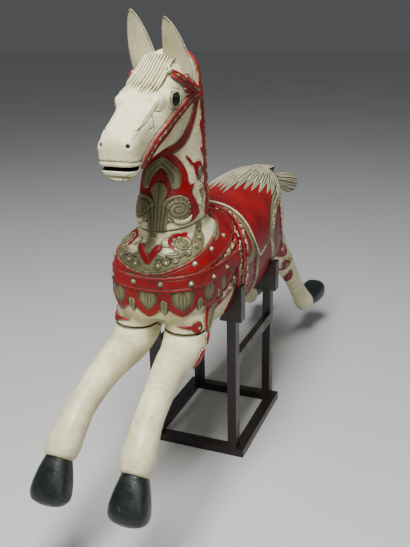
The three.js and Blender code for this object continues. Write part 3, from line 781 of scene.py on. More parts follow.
def makeStandStain():
    material, tree, shader, where = newMaterial("standStain")
    grain = node(tree, "VectorMath", {0: where, 1: (60.0, 60.0, 9.0)}, operation="MULTIPLY").outputs[0]
    streak = noise(tree, grain, 1.6, 5, .6)
    colour = blend(tree, streak, *tones["stand"])
    chips = grouped(tree, chipsGroup, Where=where, Amount=.0, Scale=40.0)
    colour = blend(tree, chips, colour, tones["standChip"])
    tree.links.new(colour, shader.inputs["Base Color"])
    tree.links.new(spread(tree, noise(tree, where, 18.0, 4), .3, .7, .26, .46), shader.inputs["Roughness"])
    bumped(tree, shader, streak, .0003)
    return material


def makeFloorPaint():
    material, tree, shader, where = newMaterial("floorPaint")
    tree.links.new(blend(tree, noise(tree, where, .8, 3), *tones["floor"]), shader.inputs["Base Color"])
    shader.inputs["Roughness"].default_value = .9
    return material


horsePaint, goldPaint = makeHorsePaint(), makeGoldPaint()
hoofPaint, standStain = makeHoofPaint(), makeStandStain()
print("mixed the paints and the stain")


# The trunk and its harness.
bodyWork = {"voxel": .0064, "smoothing": 8, "hair": .0006, "foreSeam": 9.4, "levelSeam": .660, "hindSeam": 2.3,
            "joint": .02,
            "fineTo": .20, "fineFrom": .62}
harness = {  # ways along the straps and edges, in millimetres or in degrees round the barrel
    "collar": [(28, -335, 856), (82, -328, 868), (118, -304, 884), (148, -255, 898), (160, -175, 909),
               (153, -65, 922), (131, 33, 940), (92, 84, 964)],
    "breast": [(-187, 0, 842), (-175, -184, 850), (-155, -268, 851), (-109, -326, 849), (-50, -338, 842),
               (0, -340, 841), (50, -338, 842), (109, -326, 849), (155, -268, 851), (175, -184, 850), (187, 0, 842)],
    "garland": [(18, -340, 897), (50, -337, 906), (83, -322, 923), (112, -290, 935), (128, -240, 950),
                (122, -185, 966), (104, -128, 994)],
    "frontRib": [(-12, 112), (19, 94), (31, 61), (48, 46), (64, 17), (80, -1), (107, 4), (143, 14)],
    "rearRib": [(-12, 150), (18, 144), (43, 129), (63, 83), (87, 63), (111, 42), (143, 62)],
    "piping": [(-10, 176), (18, 178), (34, 181), (50, 184), (68, 193), (85, 226), (95, 252), (97, 290),
               (93, 340), (89, 376), (66, 449), (52, 540), (45, 640), (40, 760)],
    "rumpBand": [(140, 520), (123, 485), (95, 437), (77, 466), (62, 542), (54, 640), (50, 740)],
    "studPlaces": [(48, -339, 845), (136, -305, 846), (173, -208, 841), (183, -110, 842), (140, -279, 905),
                   (155, -173, 922), (150, -40, 930)],
    "rumpEdge": [(-10, 800), (30, 770), (54, 700), (81, 640), (104, 660), (125, 728), (143, 740)],
    "rose": (95, -272, 962),
}
lappetRow = {"turns": (0, 31, 60, 88, 114), "tips": (724, 729, 738, 748, 758), "halves": (54, 53, 50, 46, 40),
             "top": 822}


def carveStraps(c):
    h = harness
    c.area("barrel", [(-10, 100), (60, 20), (90, 0), (143, 10), (143, 740), (125, 728), (104, 660), (81, 640),
                      (54, 700), (30, 775), (-10, 800)], "red", 2.2, soft=5)
    c.area("barrel", h["frontRib"] + h["rearRib"][::-1], "red", 3.5)
    pairs = zip(h["frontRib"][1:7], h["rearRib"][1:7])
    c.vine("barrel", [((a + b) / 2, (p + q) / 2) for (a, p), (b, q) in pairs] + [(143, 38)], 19, None, 24, 5)
    rows = zip(*(lappetRow[key][::-1] for key in ("turns", "tips", "halves")))
    for turn, tip, half in rows:  # hanging plates, from the last to the first
        plate = lambda t: half * np.clip(1 - np.clip((t - .48) / .52, 0, 1) ** 1.25, .02, 1)
        c.line("girdle", [(turn, lappetRow["top"]), (turn, 775), (turn, tip)], plate, "red", 6, 1.5)
        shield = lambda t: (half - 23) * np.clip(1 - np.clip((t - .52) / .48, 0, 1) ** 1.5, .02, 1)
        near, distance, share, across = c.line("girdle", [(turn, lappetRow["top"]), (turn, 790), (turn, tip + 25)],
                                               shield, "gold", 3, 3, span=20)
        c.groove(near, distance - .5, 2.6, 4)
        c.groove(near, distance + 7, 1.2, 2.6)
        inner = distance < -9
        for k in (-1, 0, 1):
            c.groove(near[inner], (across - k * 11 * np.sin(3.2 * share))[inner], 1.4, 2.6)
    for turn in (15.5, 45.5, 74, 101):  # dark lines where two plates meet
        c.score("girdle", [(turn, 806), (turn, 770)], 1.8, 3)
    for turn, tip in zip(lappetRow["turns"], lappetRow["tips"]):  # leaf tips between the plates
        near, distance, *_ = c.leaf("girdle", [(turn + 15.5, 790), (turn + 15.5, 772), (turn + 15.5, tip + 14)], 10.5,
                                    "gold", 7)
        c.groove(near, distance - 1, 2, 3.4)
    c.vine("sides", [(186, -20, 776), (183, -90, 756), (172, -165, 734)], lambda t: 36 - 8 * t, "red", 20, 8)
    c.vine("sides", [(179, -110, 878), (181, -60, 884), (178, -10, 892), (168, 36, 898)], lambda t: 6 + 24 * t,
           "red", 15, 11)
    c.vine("barrel", [(30, 150), (46, 143), (63, 123), (83, 116), (95, 116), (111, 112), (130, 112),
                      (143, 114)],
           lambda t: 10 + 24 * np.clip(2 * t, 0, 1), None, 20, 13)
    c.strap("sides", h["collar"], lambda t: 27 + 13 * eased((t - .35) * 1.8), 6)
    c.strap("body", [(-70, -332, 873), (0, -338, 868), (70, -332, 870)], 7, 5, rib=3, ribRise=1)
    c.strap("body", h["breast"], 26, 8)
    for x, y, z in h["studPlaces"]:  # a dark sunk ring round each stud
        near, a, b = c.flat("sides", (x, y, z), 16)
        reach = np.hypot(a, b)
        c.groove(near, reach - 10.5, 2.4, 4)
        c.tint(near, reach - 9.5, "gold")


def carveChest(c):
    h = harness
    c.line("sides", h["garland"], lambda t: 18 + 7 * np.sin(np.pi * t), "gold", 2, 1.5)
    for place, radius, hand in (((40, -338, 908), 11, 1), ((66, -331, 918), 12, -1), ((92, -316, 927), 12, 1),
                                ((118, -280, 940), 13, -1), ((127, -235, 953), 12, 1), ((121, -188, 966), 12, -1),
                                ((108, -148, 982), 11, 1)):
        c.curl("sides", place, radius, "gold", 6.5, hand, 1.4, 200, .2)
        near, distance, *_ = c.sketch("sides", place, [(2, radius - 2), (9, radius + 9)], lambda t: 5 * (1 - t) + .6,
                                      "gold", 5)
        c.groove(near, distance, 1, 2.5)
        near, a, b = c.flat("sides", place, radius)
        c.groove(near, np.hypot(a, b) - radius - 1, 1.4, 2.6)
        c.disc("sides", place, 4.5, "cream", 6, 2)
    c.line("body", [(2, -285, 1003), (2, -298, 978), (3, -320, 950), (3, -334, 915)],
           lambda t: 14 + 12 * t ** 3,
           "gold", 4, 2)
    for a in (-7, 0, 7):
        c.score("body", [(2 + a, -286, 1003), (3 + a * .8, -318, 952)], 1.6, 3)
    for side in (1, -1):
        c.leaf("body", [(3, -333, 922), (3 + side * 28, -330, 936), (3 + side * 58, -322, 930)], 11, "gold", 4.5)
        near, distance, *_ = c.line("body", [(3 + side * 30, -314, 958), (3 + side * 17, -326, 938), (3, -334, 918)],
                                    11.5, "red", 6, 1.5)
        c.groove(near, distance, 1, 2.5)
    c.disc("sides", (52, -293, 971), 18, "cream", 3.5, 2, coil=9.5, hand=-1)
    c.sketch("sides", h["rose"], [(-36, -6), (-34, 18), (-14, 36), (14, 37), (30, 34), (48, 48)],
             lambda t: 9 * np.sin(np.pi * np.clip(.12 + .86 * t, 0, 1)) + .5, "red", 5)
    c.sketch("sides", h["rose"], [(30, 40), (38, 22), (36, 6)], lambda t: 7 * (1 - t) + 1, "red", 5)
    c.disc("sides", h["rose"], 31, "cream", 3.5, 2, teeth=9, toothDepth=3)
    c.disc("sides", h["rose"], 25, "gold", 6, 4, coil=12, teeth=9, toothDepth=1.8)
    c.leaf("sides", [(62, -318, 936), (86, -302, 930), (112, -276, 936)], 9, "gold", 6)
    c.leaf("sides", [(150, -120, 938), (138, -60, 952), (118, -10, 966)], 9, "gold", 4)


def carveSaddle(c):
    h = harness
    for rib in (h["frontRib"], h["rearRib"]):
        c.line("barrel", rib, 5, "red", 8, 2)
        c.score("barrel", [(a, y + 7) for a, y in rib], 1.5)
    c.area("barrel", [(-10, 153), (10, 153), (30, 166), (46, 160), (63, 163), (83, 176), (90, 80), (94, 124),
                      (95, 180), (90, 215), (68, 185), (50, 176), (30, 173), (-10, 168)], "gold", 4, 1)
    c.area("barrel", [(-10, 176), (34, 181), (50, 184), (68, 193), (85, 226), (96, 256), (97, 300), (89, 376),
                      (66, 449), (52, 540), (45, 640), (40, 760), (-10, 780)], "red", 6, 2)
    c.line("barrel", h["piping"], 10, "gold", 4.5)
    c.line("barrel", [(a, y + (4 if y < 260 else -4)) for a, y in h["piping"][:9]], 3.6, "cream", 9.5, 2,
           soft=2.6)
    c.line("barrel", h["piping"][8:], 4.5, "gold", 9, 2)
    c.line("barrel", [(101, 240), (118, 250), (133, 262), (143, 262)], 17, "gold", 6, 1)
    c.vine("barrel", [(103, 236), (118, 248), (133, 262), (143, 262)], 13, None, 19, 21)
    for offset in (-19, 19):
        c.line("barrel", [(103, 240 + offset), (118, 250 + offset), (143, 262 + offset)], 2.6, "red", 7.5)
    c.vine("barrel", h["rumpBand"], 22, "cream", 24, 31)
    for offset in (-22, 22):
        c.line("barrel", [(a, y + offset) for a, y in h["rumpBand"]], 3, "gold", 6.5, 1)
    c.vine("barrel", [(a - 2, y - 14) for a, y in h["rumpEdge"]], 14, None, 24, 41)


def carveShoulder(c):
    c.leaf("sides", [(174, -170, 756), (168, -212, 722), (162, -236, 684), (159, -246, 636)], 27, "red", 4)
    c.leaf("sides", [(173, -184, 744), (168, -214, 716), (162, -236, 684), (159, -244, 654)], 15, "gold", 6)
    c.line("sides", [(124, -288, 686), (108, -304, 688), (84, -320, 692)], lambda t: 8 * (1 - t) + .5, "red",
           4.5,
           2)
    c.disc("sides", (136, -276, 684), 20, "red", 4, 3, coil=16, hand=-1)
    c.disc("sides", (138, -274, 682), 5.5, "cream", 3, 2)


def carveForeleg(c):  # what runs on below the level seam
    c.leaf("sides", [(160, -244, 652), (158, -250, 634), (155, -256, 612)], 10, "red", 4)
    c.leaf("sides", [(160, -276, 606), (154, -314, 584), (146, -352, 566)], 15, "red", 4)
    c.leaf("sides", [(162, -284, 596), (157, -312, 578), (151, -338, 564)], 7, "gold", 6)


def carveThigh(c):
    c.line("sides", [(148, 780, 560), (158, 828, 522), (152, 860, 480), (138, 882, 442), (126, 898, 420)],
           lambda t: 34 * np.sin(np.pi * np.clip(.15 + .8 * t, 0, 1)), "red", 3.5)
    c.leaf("sides", [(150, 790, 552), (160, 838, 512), (152, 868, 476), (136, 888, 440)], 19, "gold", 5)


def carveHindLeg(c):
    c.leaf("sides", [(155, 850, 500), (145, 875, 455), (126, 898, 420)], 20, "red", 3.5)


neckSeam = ((0, -112, 1004), (0, 0, 1), 215)  # its place, the way it faces and its reach


def seamPlace(form, t):
    ahead = stationAt(form, t + .02)[:3] - stationAt(form, t - .02)[:3]
    return stationAt(form, t)[:3] * 1000, ahead / np.linalg.norm(ahead)


def markSeams(c, mirror=None):
    level = bodyWork["levelSeam"] * 1000
    for side in ((1, -1) if mirror is None else ((-1,) if mirror else (1,))):
        c.seam((96 * side, -282, level), (0, 0, 1), 92)
        place, ahead = seamPlace(foreLegForm, bodyWork["foreSeam"])
        c.seam(place * (side, 1, 1), ahead * (side, 1, 1), 105, level - 4)
        place, ahead = seamPlace(hindLegForm, bodyWork["hindSeam"])
        c.seam(place * (side, 1, 1), ahead * (side, 1, 1), 105)


def above(height):  # a large block that stands over this height
    bpy.ops.mesh.primitive_cube_add(size=1, location=(0, standFront, height + 1), scale=(2, 4, 2))
    return bpy.context.object


def legRoom(form, start, end, joint, mirror):
    room = loft("room", form, 24, 32, start, end, bodyWork["hair"], mirror=mirror)
    join(room, loft("slice", form, 1, 32, joint, joint + bodyWork["joint"], bodyWork["hair"], mirror=mirror))
    return room


def refine(piece, chosen, smoothing):  # smaller faces where the carving is fine
    pick(piece)
    bpy.ops.object.mode_set(mode="EDIT")
    bpy.ops.mesh.select_all(action="DESELECT")
    bpy.ops.mesh.select_mode(type="FACE")
    bpy.ops.object.mode_set(mode="OBJECT")
    for face in piece.data.polygons:
        face.select = chosen(face.center)
    bpy.ops.object.mode_set(mode="EDIT")
    bpy.ops.mesh.subdivide(number_cuts=1)
    bpy.ops.mesh.select_all(action="SELECT")
    bpy.ops.mesh.quads_convert_to_tris(quad_method="FIXED")
    bpy.ops.object.mode_set(mode="OBJECT")
    modify(piece, "SMOOTH", iterations=smoothing, factor=smoothFactor)
    applyAll(piece)


def makeTrunk():
    w = bodyWork
    fore, hind = w["foreSeam"], w["hindSeam"]
    trunk = loft("trunkBlock", trunkForm, 96, 96, upright="y")
    parts = [loft("neckRoot", neckForm, 4, 64, 0, .997, upright="z")]
    for mirror in (False, True):
        parts.append(loft("shoulder", foreLegForm, 48, 48, 7.4, mirror=mirror))
        parts.append(loft("haunch", hindLegForm, 16, 48, 0, hind - w["joint"], mirror=mirror))
    join(trunk, *parts)
    rooms = []
    for mirror in (False, True):
        room = loft("room", foreLegForm, 60, 56, 0, fore + w["joint"], w["hair"], mirror=mirror)
        cut(room, above(w["levelSeam"] + w["hair"]))
        rooms.append(room)
        rooms.append(legRoom(hindLegForm, hind, len(hindLegForm) - 1, hind - w["joint"], mirror))
    cut(trunk, *rooms)
    trunk = fuse("horse_trunk", [trunk], w["voxel"], w["smoothing"])
    refine(trunk, lambda p: p.y - standFront < w["fineTo"] and p.z > w["fineFrom"], 3)
    c = Carving(trunk)
    z = c.at[:, 2]
    for name in ("girdle", "barrel"):
        c.allowed[name] = (z > 560) & (z < 1025)
    c.allowed["girdle"] &= (z < 835)
    carveStraps(c)
    carveChest(c)
    carveSaddle(c)
    carveShoulder(c)
    carveThigh(c)
    markSeams(c)
    c.seam(*neckSeam)
    c.finish()
    finishPiece(trunk, horsePaint, "horse_paint", "trunk")
    return trunk


# The head and neck.
headWork = {"voxel": .0031, "smoothing": 5, "mouth": ((-.07, -.53, 1.2455), (.07, -.466, 1.2565)),
            "earForward": (0, -.012, -.002),
            "earLift": .011, "eye": (84, -264, 1420), "nostril": (43, -500, 1316)}
bridle = {
    "throatStrap": {"half": 11, "level": 4, "rib": 3, "ribRise": 1,
                    "way": [(84, -84, 1408), (82, -105, 1372), (78, -129, 1328), (67, -158, 1284),
                            (44, -186, 1256), (0, -196, 1246)]},
    "crownStrap": {"half": 14, "level": 5, "rib": 4,
                   "way": [(80, -50, 1412), (74, -46, 1462), (62, -52, 1508), (40, -62, 1536), (0, -66, 1546)]},
    "browBand": {"half": 16, "level": 6.5, "rib": 4.5,
                 "way": [(69, -233, 1488), (79, -191, 1470), (78, -120, 1446), (80, -50, 1412)]},
    "cheekStrap": {"half": 16.5, "level": 7, "rib": 4.5,
                   "way": [(80, -55, 1418), (80, -136, 1407), (85, -232, 1381), (84, -306, 1353),
                           (71, -353, 1319), (61, -402, 1283), (60, -446, 1261)]},
}


def carveNeck(c):
    plate = [(-8, 1246), (8, 1243), (22, 1234), (35, 1209), (42.5, 1176), (44, 1150), (47, 1138), (58, 1140),
             (58.5, 1138), (50, 1112), (60, 1080), (75, 1046), (76, 1042), (62, 1027), (44, 1017), (28, 1020),
             (20, 1034), (-8, 1040)]
    c.area("neckFront", plate, "red", 4)
    c.area("neckFront", [(-8, 1230), (0, 1230), (18, 1208), (29, 1174), (26, 1137), (16, 1134), (13, 1158),
                         (6, 1186), (0, 1196), (-8, 1196)], "gold", 6.5, 2.5, span=9)
    c.line("neckFront", [(0, 1214), (12, 1200), (22, 1172), (22, 1146)], 2.4, "gold", 9.5)
    for a in (-5, 5):
        c.score("neckFront", [(max(a, 0), 1214 + a), (12 + a, 1200), (22 + a, 1172), (22 + a, 1150)], 2, 3)
    c.area("neckFront", [(-6, 1190), (0, 1189), (6, 1180), (13.5, 1157), (12, 1124), (6, 1128), (6, 1140),
                         (0, 1160), (-6, 1160)], "red", 8, 1.5)
    c.area("neckFront", [(-6, 1154), (0, 1153), (7, 1144), (10, 1128), (7, 1104), (2, 1080), (-6, 1078)],
           "gold",
           6.5, 3, span=9)
    c.score("neckFront", [(0, 1150), (0, 1084)], 1.2)
    c.disc("neckFront", (23, 1068), 38, "cream", 5.5, 2, teeth=15, toothDepth=2)
    c.disc("neckFront", (23, 1068), 33, "gold", 8, 5, coil=11, teeth=15, toothDepth=2)
    c.line("neckFront", [(2, 1040), (6, 1066), (8, 1092), (16, 1106), (26, 1108), (38, 1094)],
           lambda t: 6 - 4 * t,
           "gold", 9, 2)
    c.line("neckFront", [(42, 1040), (36, 1028), (22, 1030), (16, 1042)],
           lambda t: 7 * np.sin(np.pi * np.clip(.1 + .9 * t, 0, 1)), "cream", 7.5, 1.5)
    c.line("neckFront", [(0, 1000), (0, 1030), (0, 1062)], lambda t: 17 + 5 * t, "gold", 5, 2)
    for a in (0, 3.5, 7):
        c.score("neckFront", [(a * .8, 1000), (a, 1040), (a * 1.3, 1078)], 2, 3)
    c.area("neckSide", [(46, 1232), (56, 1222), (66, 1204), (78, 1206), (96, 1200), (104, 1180), (104, 1142),
                        (98, 1130), (84, 1136), (70, 1160), (64, 1190), (54, 1206)], "red", 4)
    c.disc("neckSide", (85, 1164), 16, "gold", 7, 4, coil=9, tall=1.55, hand=-1)
    c.vine("neckSide", [(96, 1134), (86, 1112), (90, 1088), (84, 1062), (92, 1036)], 24, "cream", 24, 52)
    c.area("neckSide", [(200, 1008), (104, 1012), (108, 1060), (118, 1080), (106, 1100), (112, 1140),
                        (106, 1170),
                        (112, 1206), (98, 1238), (99, 1243), (112, 1252), (108, 1290), (101, 1322), (114, 1340),
                        (112, 1400), (120, 1470), (200, 1480)], "red", 4)
    for z in range(1040, 1440, 44):
        c.curl("neckSide", (140, z), 15, "gold", 7, 1 if z % 88 else -1, 1.3, 90, .2)


def carveBridle(c):
    for strap in bridle.values():
        c.strap("sides", **strap)
    for name in ("browBand", "cheekStrap"):
        for i, place in enumerate(sampled(bridle[name]["way"], 11)[2:-2]):
            c.disc("sides", place, 5, "red" if i % 3 else "gold", 8.5, 3, teeth=4, toothDepth=1.2)
    c.disc("sides", bridle["cheekStrap"]["way"][-1], 13, "red", 7, 3)
    c.disc("sides", (78, -60, 1414), 17, "red", 8, 3, coil=9)


def carveFace(c):
    eye, nostril = headWork["eye"], headWork["nostril"]
    # the sharp side of the nose
    ridge = [(66, -346, 1428), (56, -380, 1400), (50, -430, 1368), (46, -480, 1336)]
    near, distance, _, _ = c.follow("sides", ridge, 0)
    c.level[near] += 3.2 * eased(1 - abs(distance) / 9)
    near, distance, _, _ = c.follow("body", [(0, -350, 1440), (0, -400, 1404), (0, -460, 1356)], 26)
    c.level[near] -= 3 * eased(.5 - distance / 18)
    for place, radius, rise in (((62, -340, 1424), 30, 11), ((78, -300, 1436), 26, 5),
                                ((50, -486, 1308), 24, 1.5),
                                ((84, -240, 1330), 60, 4)):
        near, a, b = c.flat("sides", place, radius)
        c.level[near] += rise * eased(1.15 - np.hypot(a, b) / radius)
    near, a, b = c.flat("sides", eye, 44)
    reach = np.hypot(a / 40, b / 27)
    c.level[near] += 3.5 * eased(1.6 - 1.6 * abs(reach - .8) / .5) - 4.5 * eased(1.2 - reach * 1.5)
    near, a, b = c.flat("sides", eye, 34)
    along = a * .97 + b * .25
    high = b * .97 - a * .25
    distance = ((abs(along / 27) ** 2.6 + abs(high / 19) ** 2.6) ** (1 / 2.6) - 1) * 19
    c.tint(near, distance, "dark")
    c.level[near] += 3 * eased(.6 - distance / 10)
    c.groove(near, distance - 2.5, 1.6, 3)
    for lid in ([(82, -300, 1422), (79, -264, 1450), (82, -226, 1444)],
                [(85, -290, 1394), (86, -262, 1392), (86, -240, 1400)]):
        c.score("sides", lid, 1.4, 4)
    c.disc("sides", nostril, 5, "dark", -7, -1)
    near, a, b = c.flat("sides", nostril, 22)
    c.level[near] += 1 * eased(1.3 - abs(np.hypot(a, b) - 12) / 8)
    for vein in ([(66, -346, 1410), (64, -356, 1400), (62, -374, 1386), (60, -412, 1366), (51, -448, 1355)],
                 [(76, -338, 1392), (68, -352, 1394), (63, -360, 1396)],
                 [(64, -372, 1384), (66, -372, 1360), (66, -368, 1340)],
                 [(66, -372, 1352), (63, -396, 1348), (60, -419, 1336)],
                 [(54, -440, 1352), (47, -452, 1350), (40, -462, 1346)]):
        c.score("sides", vein, 1.3, 2.6)
    c.score("body", [(-60, -452, 1268), (-52, -494, 1270), (-35, -509, 1272), (0, -512, 1272), (35, -509, 1272),
                     (52, -494, 1270), (61, -453, 1269)], 2.5, 4)
    c.score("body", [(-48, -498, 1228), (-20, -510, 1226), (20, -510, 1226), (48, -498, 1228)], 1, 4)


def paintHollows(c, whole):  # the mouth gets painted shade inside, darker deeper in, and the ears are painted olive inside with painted shade over it
    depth = np.array([whole.find_nearest(Vector(p / 1000 + frontShift))[3] * 1000 for p in c.at])
    mouth = (c.at[:, 1] < -440) & (abs(c.at[:, 2] - 1251) < 12)
    # painted shade: the dark paint fills the mouth cut by its depth
    c.tint(np.flatnonzero(mouth), 2.5 - depth[mouth], "dark")
    ear = np.flatnonzero((c.at[:, 2] > 1530) & (c.at[:, 1] < -150))
    front = 6 * (c.out[ear, 1] + .35) + 30 * (.35 - np.clip(depth[ear], 0, .35))
    c.tint(ear, np.clip(front, -farOff, farOff), "hair")
    # painted shade in the ear's hollow
    c.hollow(ear, front, 1.2)


def solidOf(*pieces):  # the surfaces of several pieces, to measure from
    places, faces = [], []
    for piece in pieces:
        start = len(places)
        places += [tuple(v.co) for v in piece.data.vertices]
        faces += [tuple(start + i for i in face.vertices) for face in piece.data.polygons]
    return BVHTree.FromPolygons(places, faces)


def makeHead():
    w = headWork
    neck = loft("neckBlock", neckForm, 60, 72, 1.003, upright="z")
    block = loft("headBlock", headForm, 72, 72, upright="y")
    earForms = [[(x, y, z + rise, *rest) for x, y, z, *rest in earForm] for rise in (-w["earLift"],
                                                                                     w["earLift"])]
    ears = [loft("ear", form, 40, 32, mirror=mirror) for form, mirror in zip(earForms, (False, True))]
    whole = solidOf(block, *ears)
    for ear, form, mirror in zip(ears, earForms, (False, True)):
        hollow = loft("hollow", form, 30, 24, .7, len(form) - .9, -.003, mirror=mirror)
        hollow.location = w["earForward"]
        cut(ear, hollow)
    low, high = (Vector(p) + Vector(frontShift) for p in w["mouth"])
    bpy.ops.mesh.primitive_cube_add(size=1, location=(low + high) / 2, scale=high - low)
    cut(block, bpy.context.object)
    head = fuse("horse_head_and_neck", [neck, block, *ears], w["voxel"], w["smoothing"])
    c = Carving(head)
    x, y, z = c.at.T
    for name in ("neckFront", "neckSide"):
        behind = np.degrees(np.arctan2(abs(x), -100 - y)) > 60
        c.allowed[name] = (z < 1500) & ((y > -225) | (z < 1225)) & (z < 1250 + behind * 250)
    carveNeck(c)
    carveFace(c)
    carveBridle(c)
    paintHollows(c, whole)
    c.seam(*neckSeam)
    c.finish()
    finishPiece(head, horsePaint, "horse_paint", "head_and_neck")
    return head


# The legs.
legWork = {"voxel": .0042, "smoothing": 5, "hoofVoxel": .0035}


def makeLeg(name, form, start, end, hoofForm, mirror):
    leg = loft("leg", form, 60, 56, start, end, mirror=mirror)
    if form is foreLegForm:
        cut(leg, above(bodyWork["levelSeam"]))
    leg = fuse("horse_" + name, [leg], legWork["voxel"], legWork["smoothing"])
    c = Carving(leg)
    (carveForeleg if form is foreLegForm else carveHindLeg)(c)
    markSeams(c, mirror)
    c.finish()
    finishPiece(leg, horsePaint, "horse_paint", name)
    hoof = fuse(name + "_hoof", [loft("hoof", hoofForm, 40, 56, mirror=mirror)], legWork["hoofVoxel"],
                legWork["smoothing"])
    finishPiece(hoof, hoofPaint, "hoof_paint", name)


trunk = makeTrunk()
head = makeHead()
for side, mirror in (("left", False), ("right", True)):
    makeLeg(side + "_foreleg", foreLegForm, 0, bodyWork["foreSeam"], foreHoofForm, mirror)
    makeLeg(side + "_hind_leg", hindLegForm, bodyWork["hindSeam"], len(hindLegForm) - 1, hindHoofForm, mirror)


# Hair, tail and studs, laid on the finished skins.
hairWork = {
    "tips": [(-56, 640), (-47, 560), (-39, 500), (-31, 455), (-23, 405), (-15, 352), (-7, 372), (0, 335),
             (7, 310), (15, 366),
             (23, 404), (30, 430), (37, 462), (43, 530), (48, 565), (55, 640)],
    "root": 872, "width": 17, "thick": 11, "ridges": 3, "axis": 790, "out": 200, "up": 215,
}
forelockWork = {"count": 11, "roots": ((-30, -200, 1540), (56, -200, 1536)),
                "tips": ((-60, -300, 1458), (52, -332, 1438)),
                "width": 8.2, "thick": 12, "ridges": 1}
tailForm = [
    (.030, .838, .926, .010, .014, .016, 2),
    (.032, .850, .928, .036, .044, .046, 2),
    (.034, .886, .930, .042, .050, .052, 2),
    (.040, .922, .924, .026, .032, .034, 2),
    (.050, .968, .908, .024, .028, .034, 2),
    (.060, 1.040, .888, .034, .040, .048, 2.2),
    (.068, 1.120, .862, .042, .046, .056, 2.4),
    (.074, 1.176, .846, .030, .040, .046, 2.4),
    (.076, 1.192, .842, .008, .014, .016, 2),
]
tailWork = {"rings": 80, "sides": 96, "grow": -.006, "ribs": 11, "twist": 4, "ribRise": .06, "endLocks": 11,
            "loopLocks": 7}


def paintAll(piece, paint):
    for label in (*paintNames, "line"):
        field = piece.data.attributes.new(label, "FLOAT", "POINT")
        field.data.foreach_set("value", [-farOff if label == paint else farOff] * len(piece.data.vertices))


def pieceFrom(name, places, faces, paint):
    mesh = bpy.data.meshes.new(name)
    mesh.from_pydata([(x / 1000, y / 1000 + standFront, z / 1000) for x, y, z in places], [], faces)
    piece = bpy.data.objects.new(name, mesh)
    bpy.context.scene.collection.objects.link(piece)
    shape = bmesh.new()
    shape.from_mesh(mesh)
    bmesh.ops.recalc_face_normals(shape, faces=shape.faces)
    shape.to_mesh(mesh)
    shape.free()
    paintAll(piece, paint)
    return piece


def strand(places, faces, crease, skin, way, width, thick, ridges,
           outward=None):  # one closed lock, pointed at its tip
    line = sampled(way, 7)
    if outward is None:
        found = [skin.find_nearest(Vector(p)) for p in line]
        centre = np.array([tuple(hit[0]) for hit in found])
        up = np.array([tuple(hit[1]) for hit in found])
    else:
        centre, up = line, np.tile(outward, (len(line), 1))
    for _ in range(3):
        up[1:-1] = (up[:-2] + up[1:-1] + up[2:]) / 3
    ahead = np.gradient(centre, axis=0)
    side = np.cross(ahead, up)
    side /= np.linalg.norm(side, axis=1)[:, None]
    columns = 4 * ridges + 1
    start = len(places)
    for i in range(len(line)):
        t = i / (len(line) - 1)
        wide = width * min(1, .55 + 1.2 * t) * max(1 - max(t - .72, 0) / .28, .03) ** .8
        tall = thick * (1 - .6 * t ** 2) * min(1, .2 + 6 * (1 - t))
        for k in range(columns):
            u = 2 * k / (columns - 1) - 1
            wave = .5 - .5 * math.cos(math.pi * ridges * (u + 1))
            high = tall * (1 - .55 * u * u) - (1 - wave) * min(3.4, tall * .4)
            places.append(tuple(centre[i] + side[i] * wide * u + up[i] * high))
            # crease: the grooves between the ridges take painted shade and grime
            crease.append(4.6 * wave - 3.4 if 0 < k < columns - 1 else -3.4)
        for u in (.9, -.9):
            places.append(tuple(centre[i] + side[i] * wide * u - up[i] * 5))
            # the underside edge takes painted shade
            crease.append(-2)
    ring = columns + 2
    for i in range(len(line) - 1):
        for k in range(ring):
            a, b = start + i * ring + k, start + i * ring + (k + 1) % ring
            faces.append((a, b, b + ring, a + ring))
    faces.append(tuple(range(start, start + ring)))
    faces.append(tuple(range(start + (len(line) - 1) * ring, start + len(line) * ring)))


def finishStrands(name, places, faces, crease, paint):
    piece = pieceFrom(name, places, faces, paint)
    piece.data.attributes.new("crease", "FLOAT", "POINT").data.foreach_set("value", crease)
    finishPiece(piece, horsePaint, "horse_paint")


def makeHair(trunk):
    w = hairWork
    skin = skinOf(trunk)
    places, faces, crease = [], [], []
    for turn, y in w["tips"]:
        way = []
        for t in (0, .3, .6, 1):
            at = math.radians(turn * (.22 + .78 * t ** .7))
            way.append((w["out"] * math.sin(at), w["root"] + (y - w["root"]) * t, w["axis"] + w["up"] * math.cos(at)))
        strand(places, faces, crease, skin, way, w["width"], w["thick"], w["ridges"])
    finishStrands("saddle_hair", places, faces, crease, "hair")


def makeForelock(head):
    w = forelockWork
    skin = skinOf(head)
    places, faces, crease = [], [], []
    for i in range(w["count"]):
        share = i / (w["count"] - 1)
        root, tip = (np.array(w[key][0]) * (1 - share) + np.array(w[key][1]) * share for key in ("roots", "tips"))
        tip = tip + np.array((0, -4, -6)) * math.sin(math.pi * share) * 2 + np.array((0, 5, 8)) * (i % 3 == 1)
        way = [tuple(root), tuple((root + tip) / 2 + np.array((8, 0, 12))), tuple(tip)]
        strand(places, faces, crease, skin, way, w["width"], w["thick"], w["ridges"])
    # painted shade and grime deeper over the whole forelock
    finishStrands("forelock", places, faces, np.array(crease) - .9, "cream")


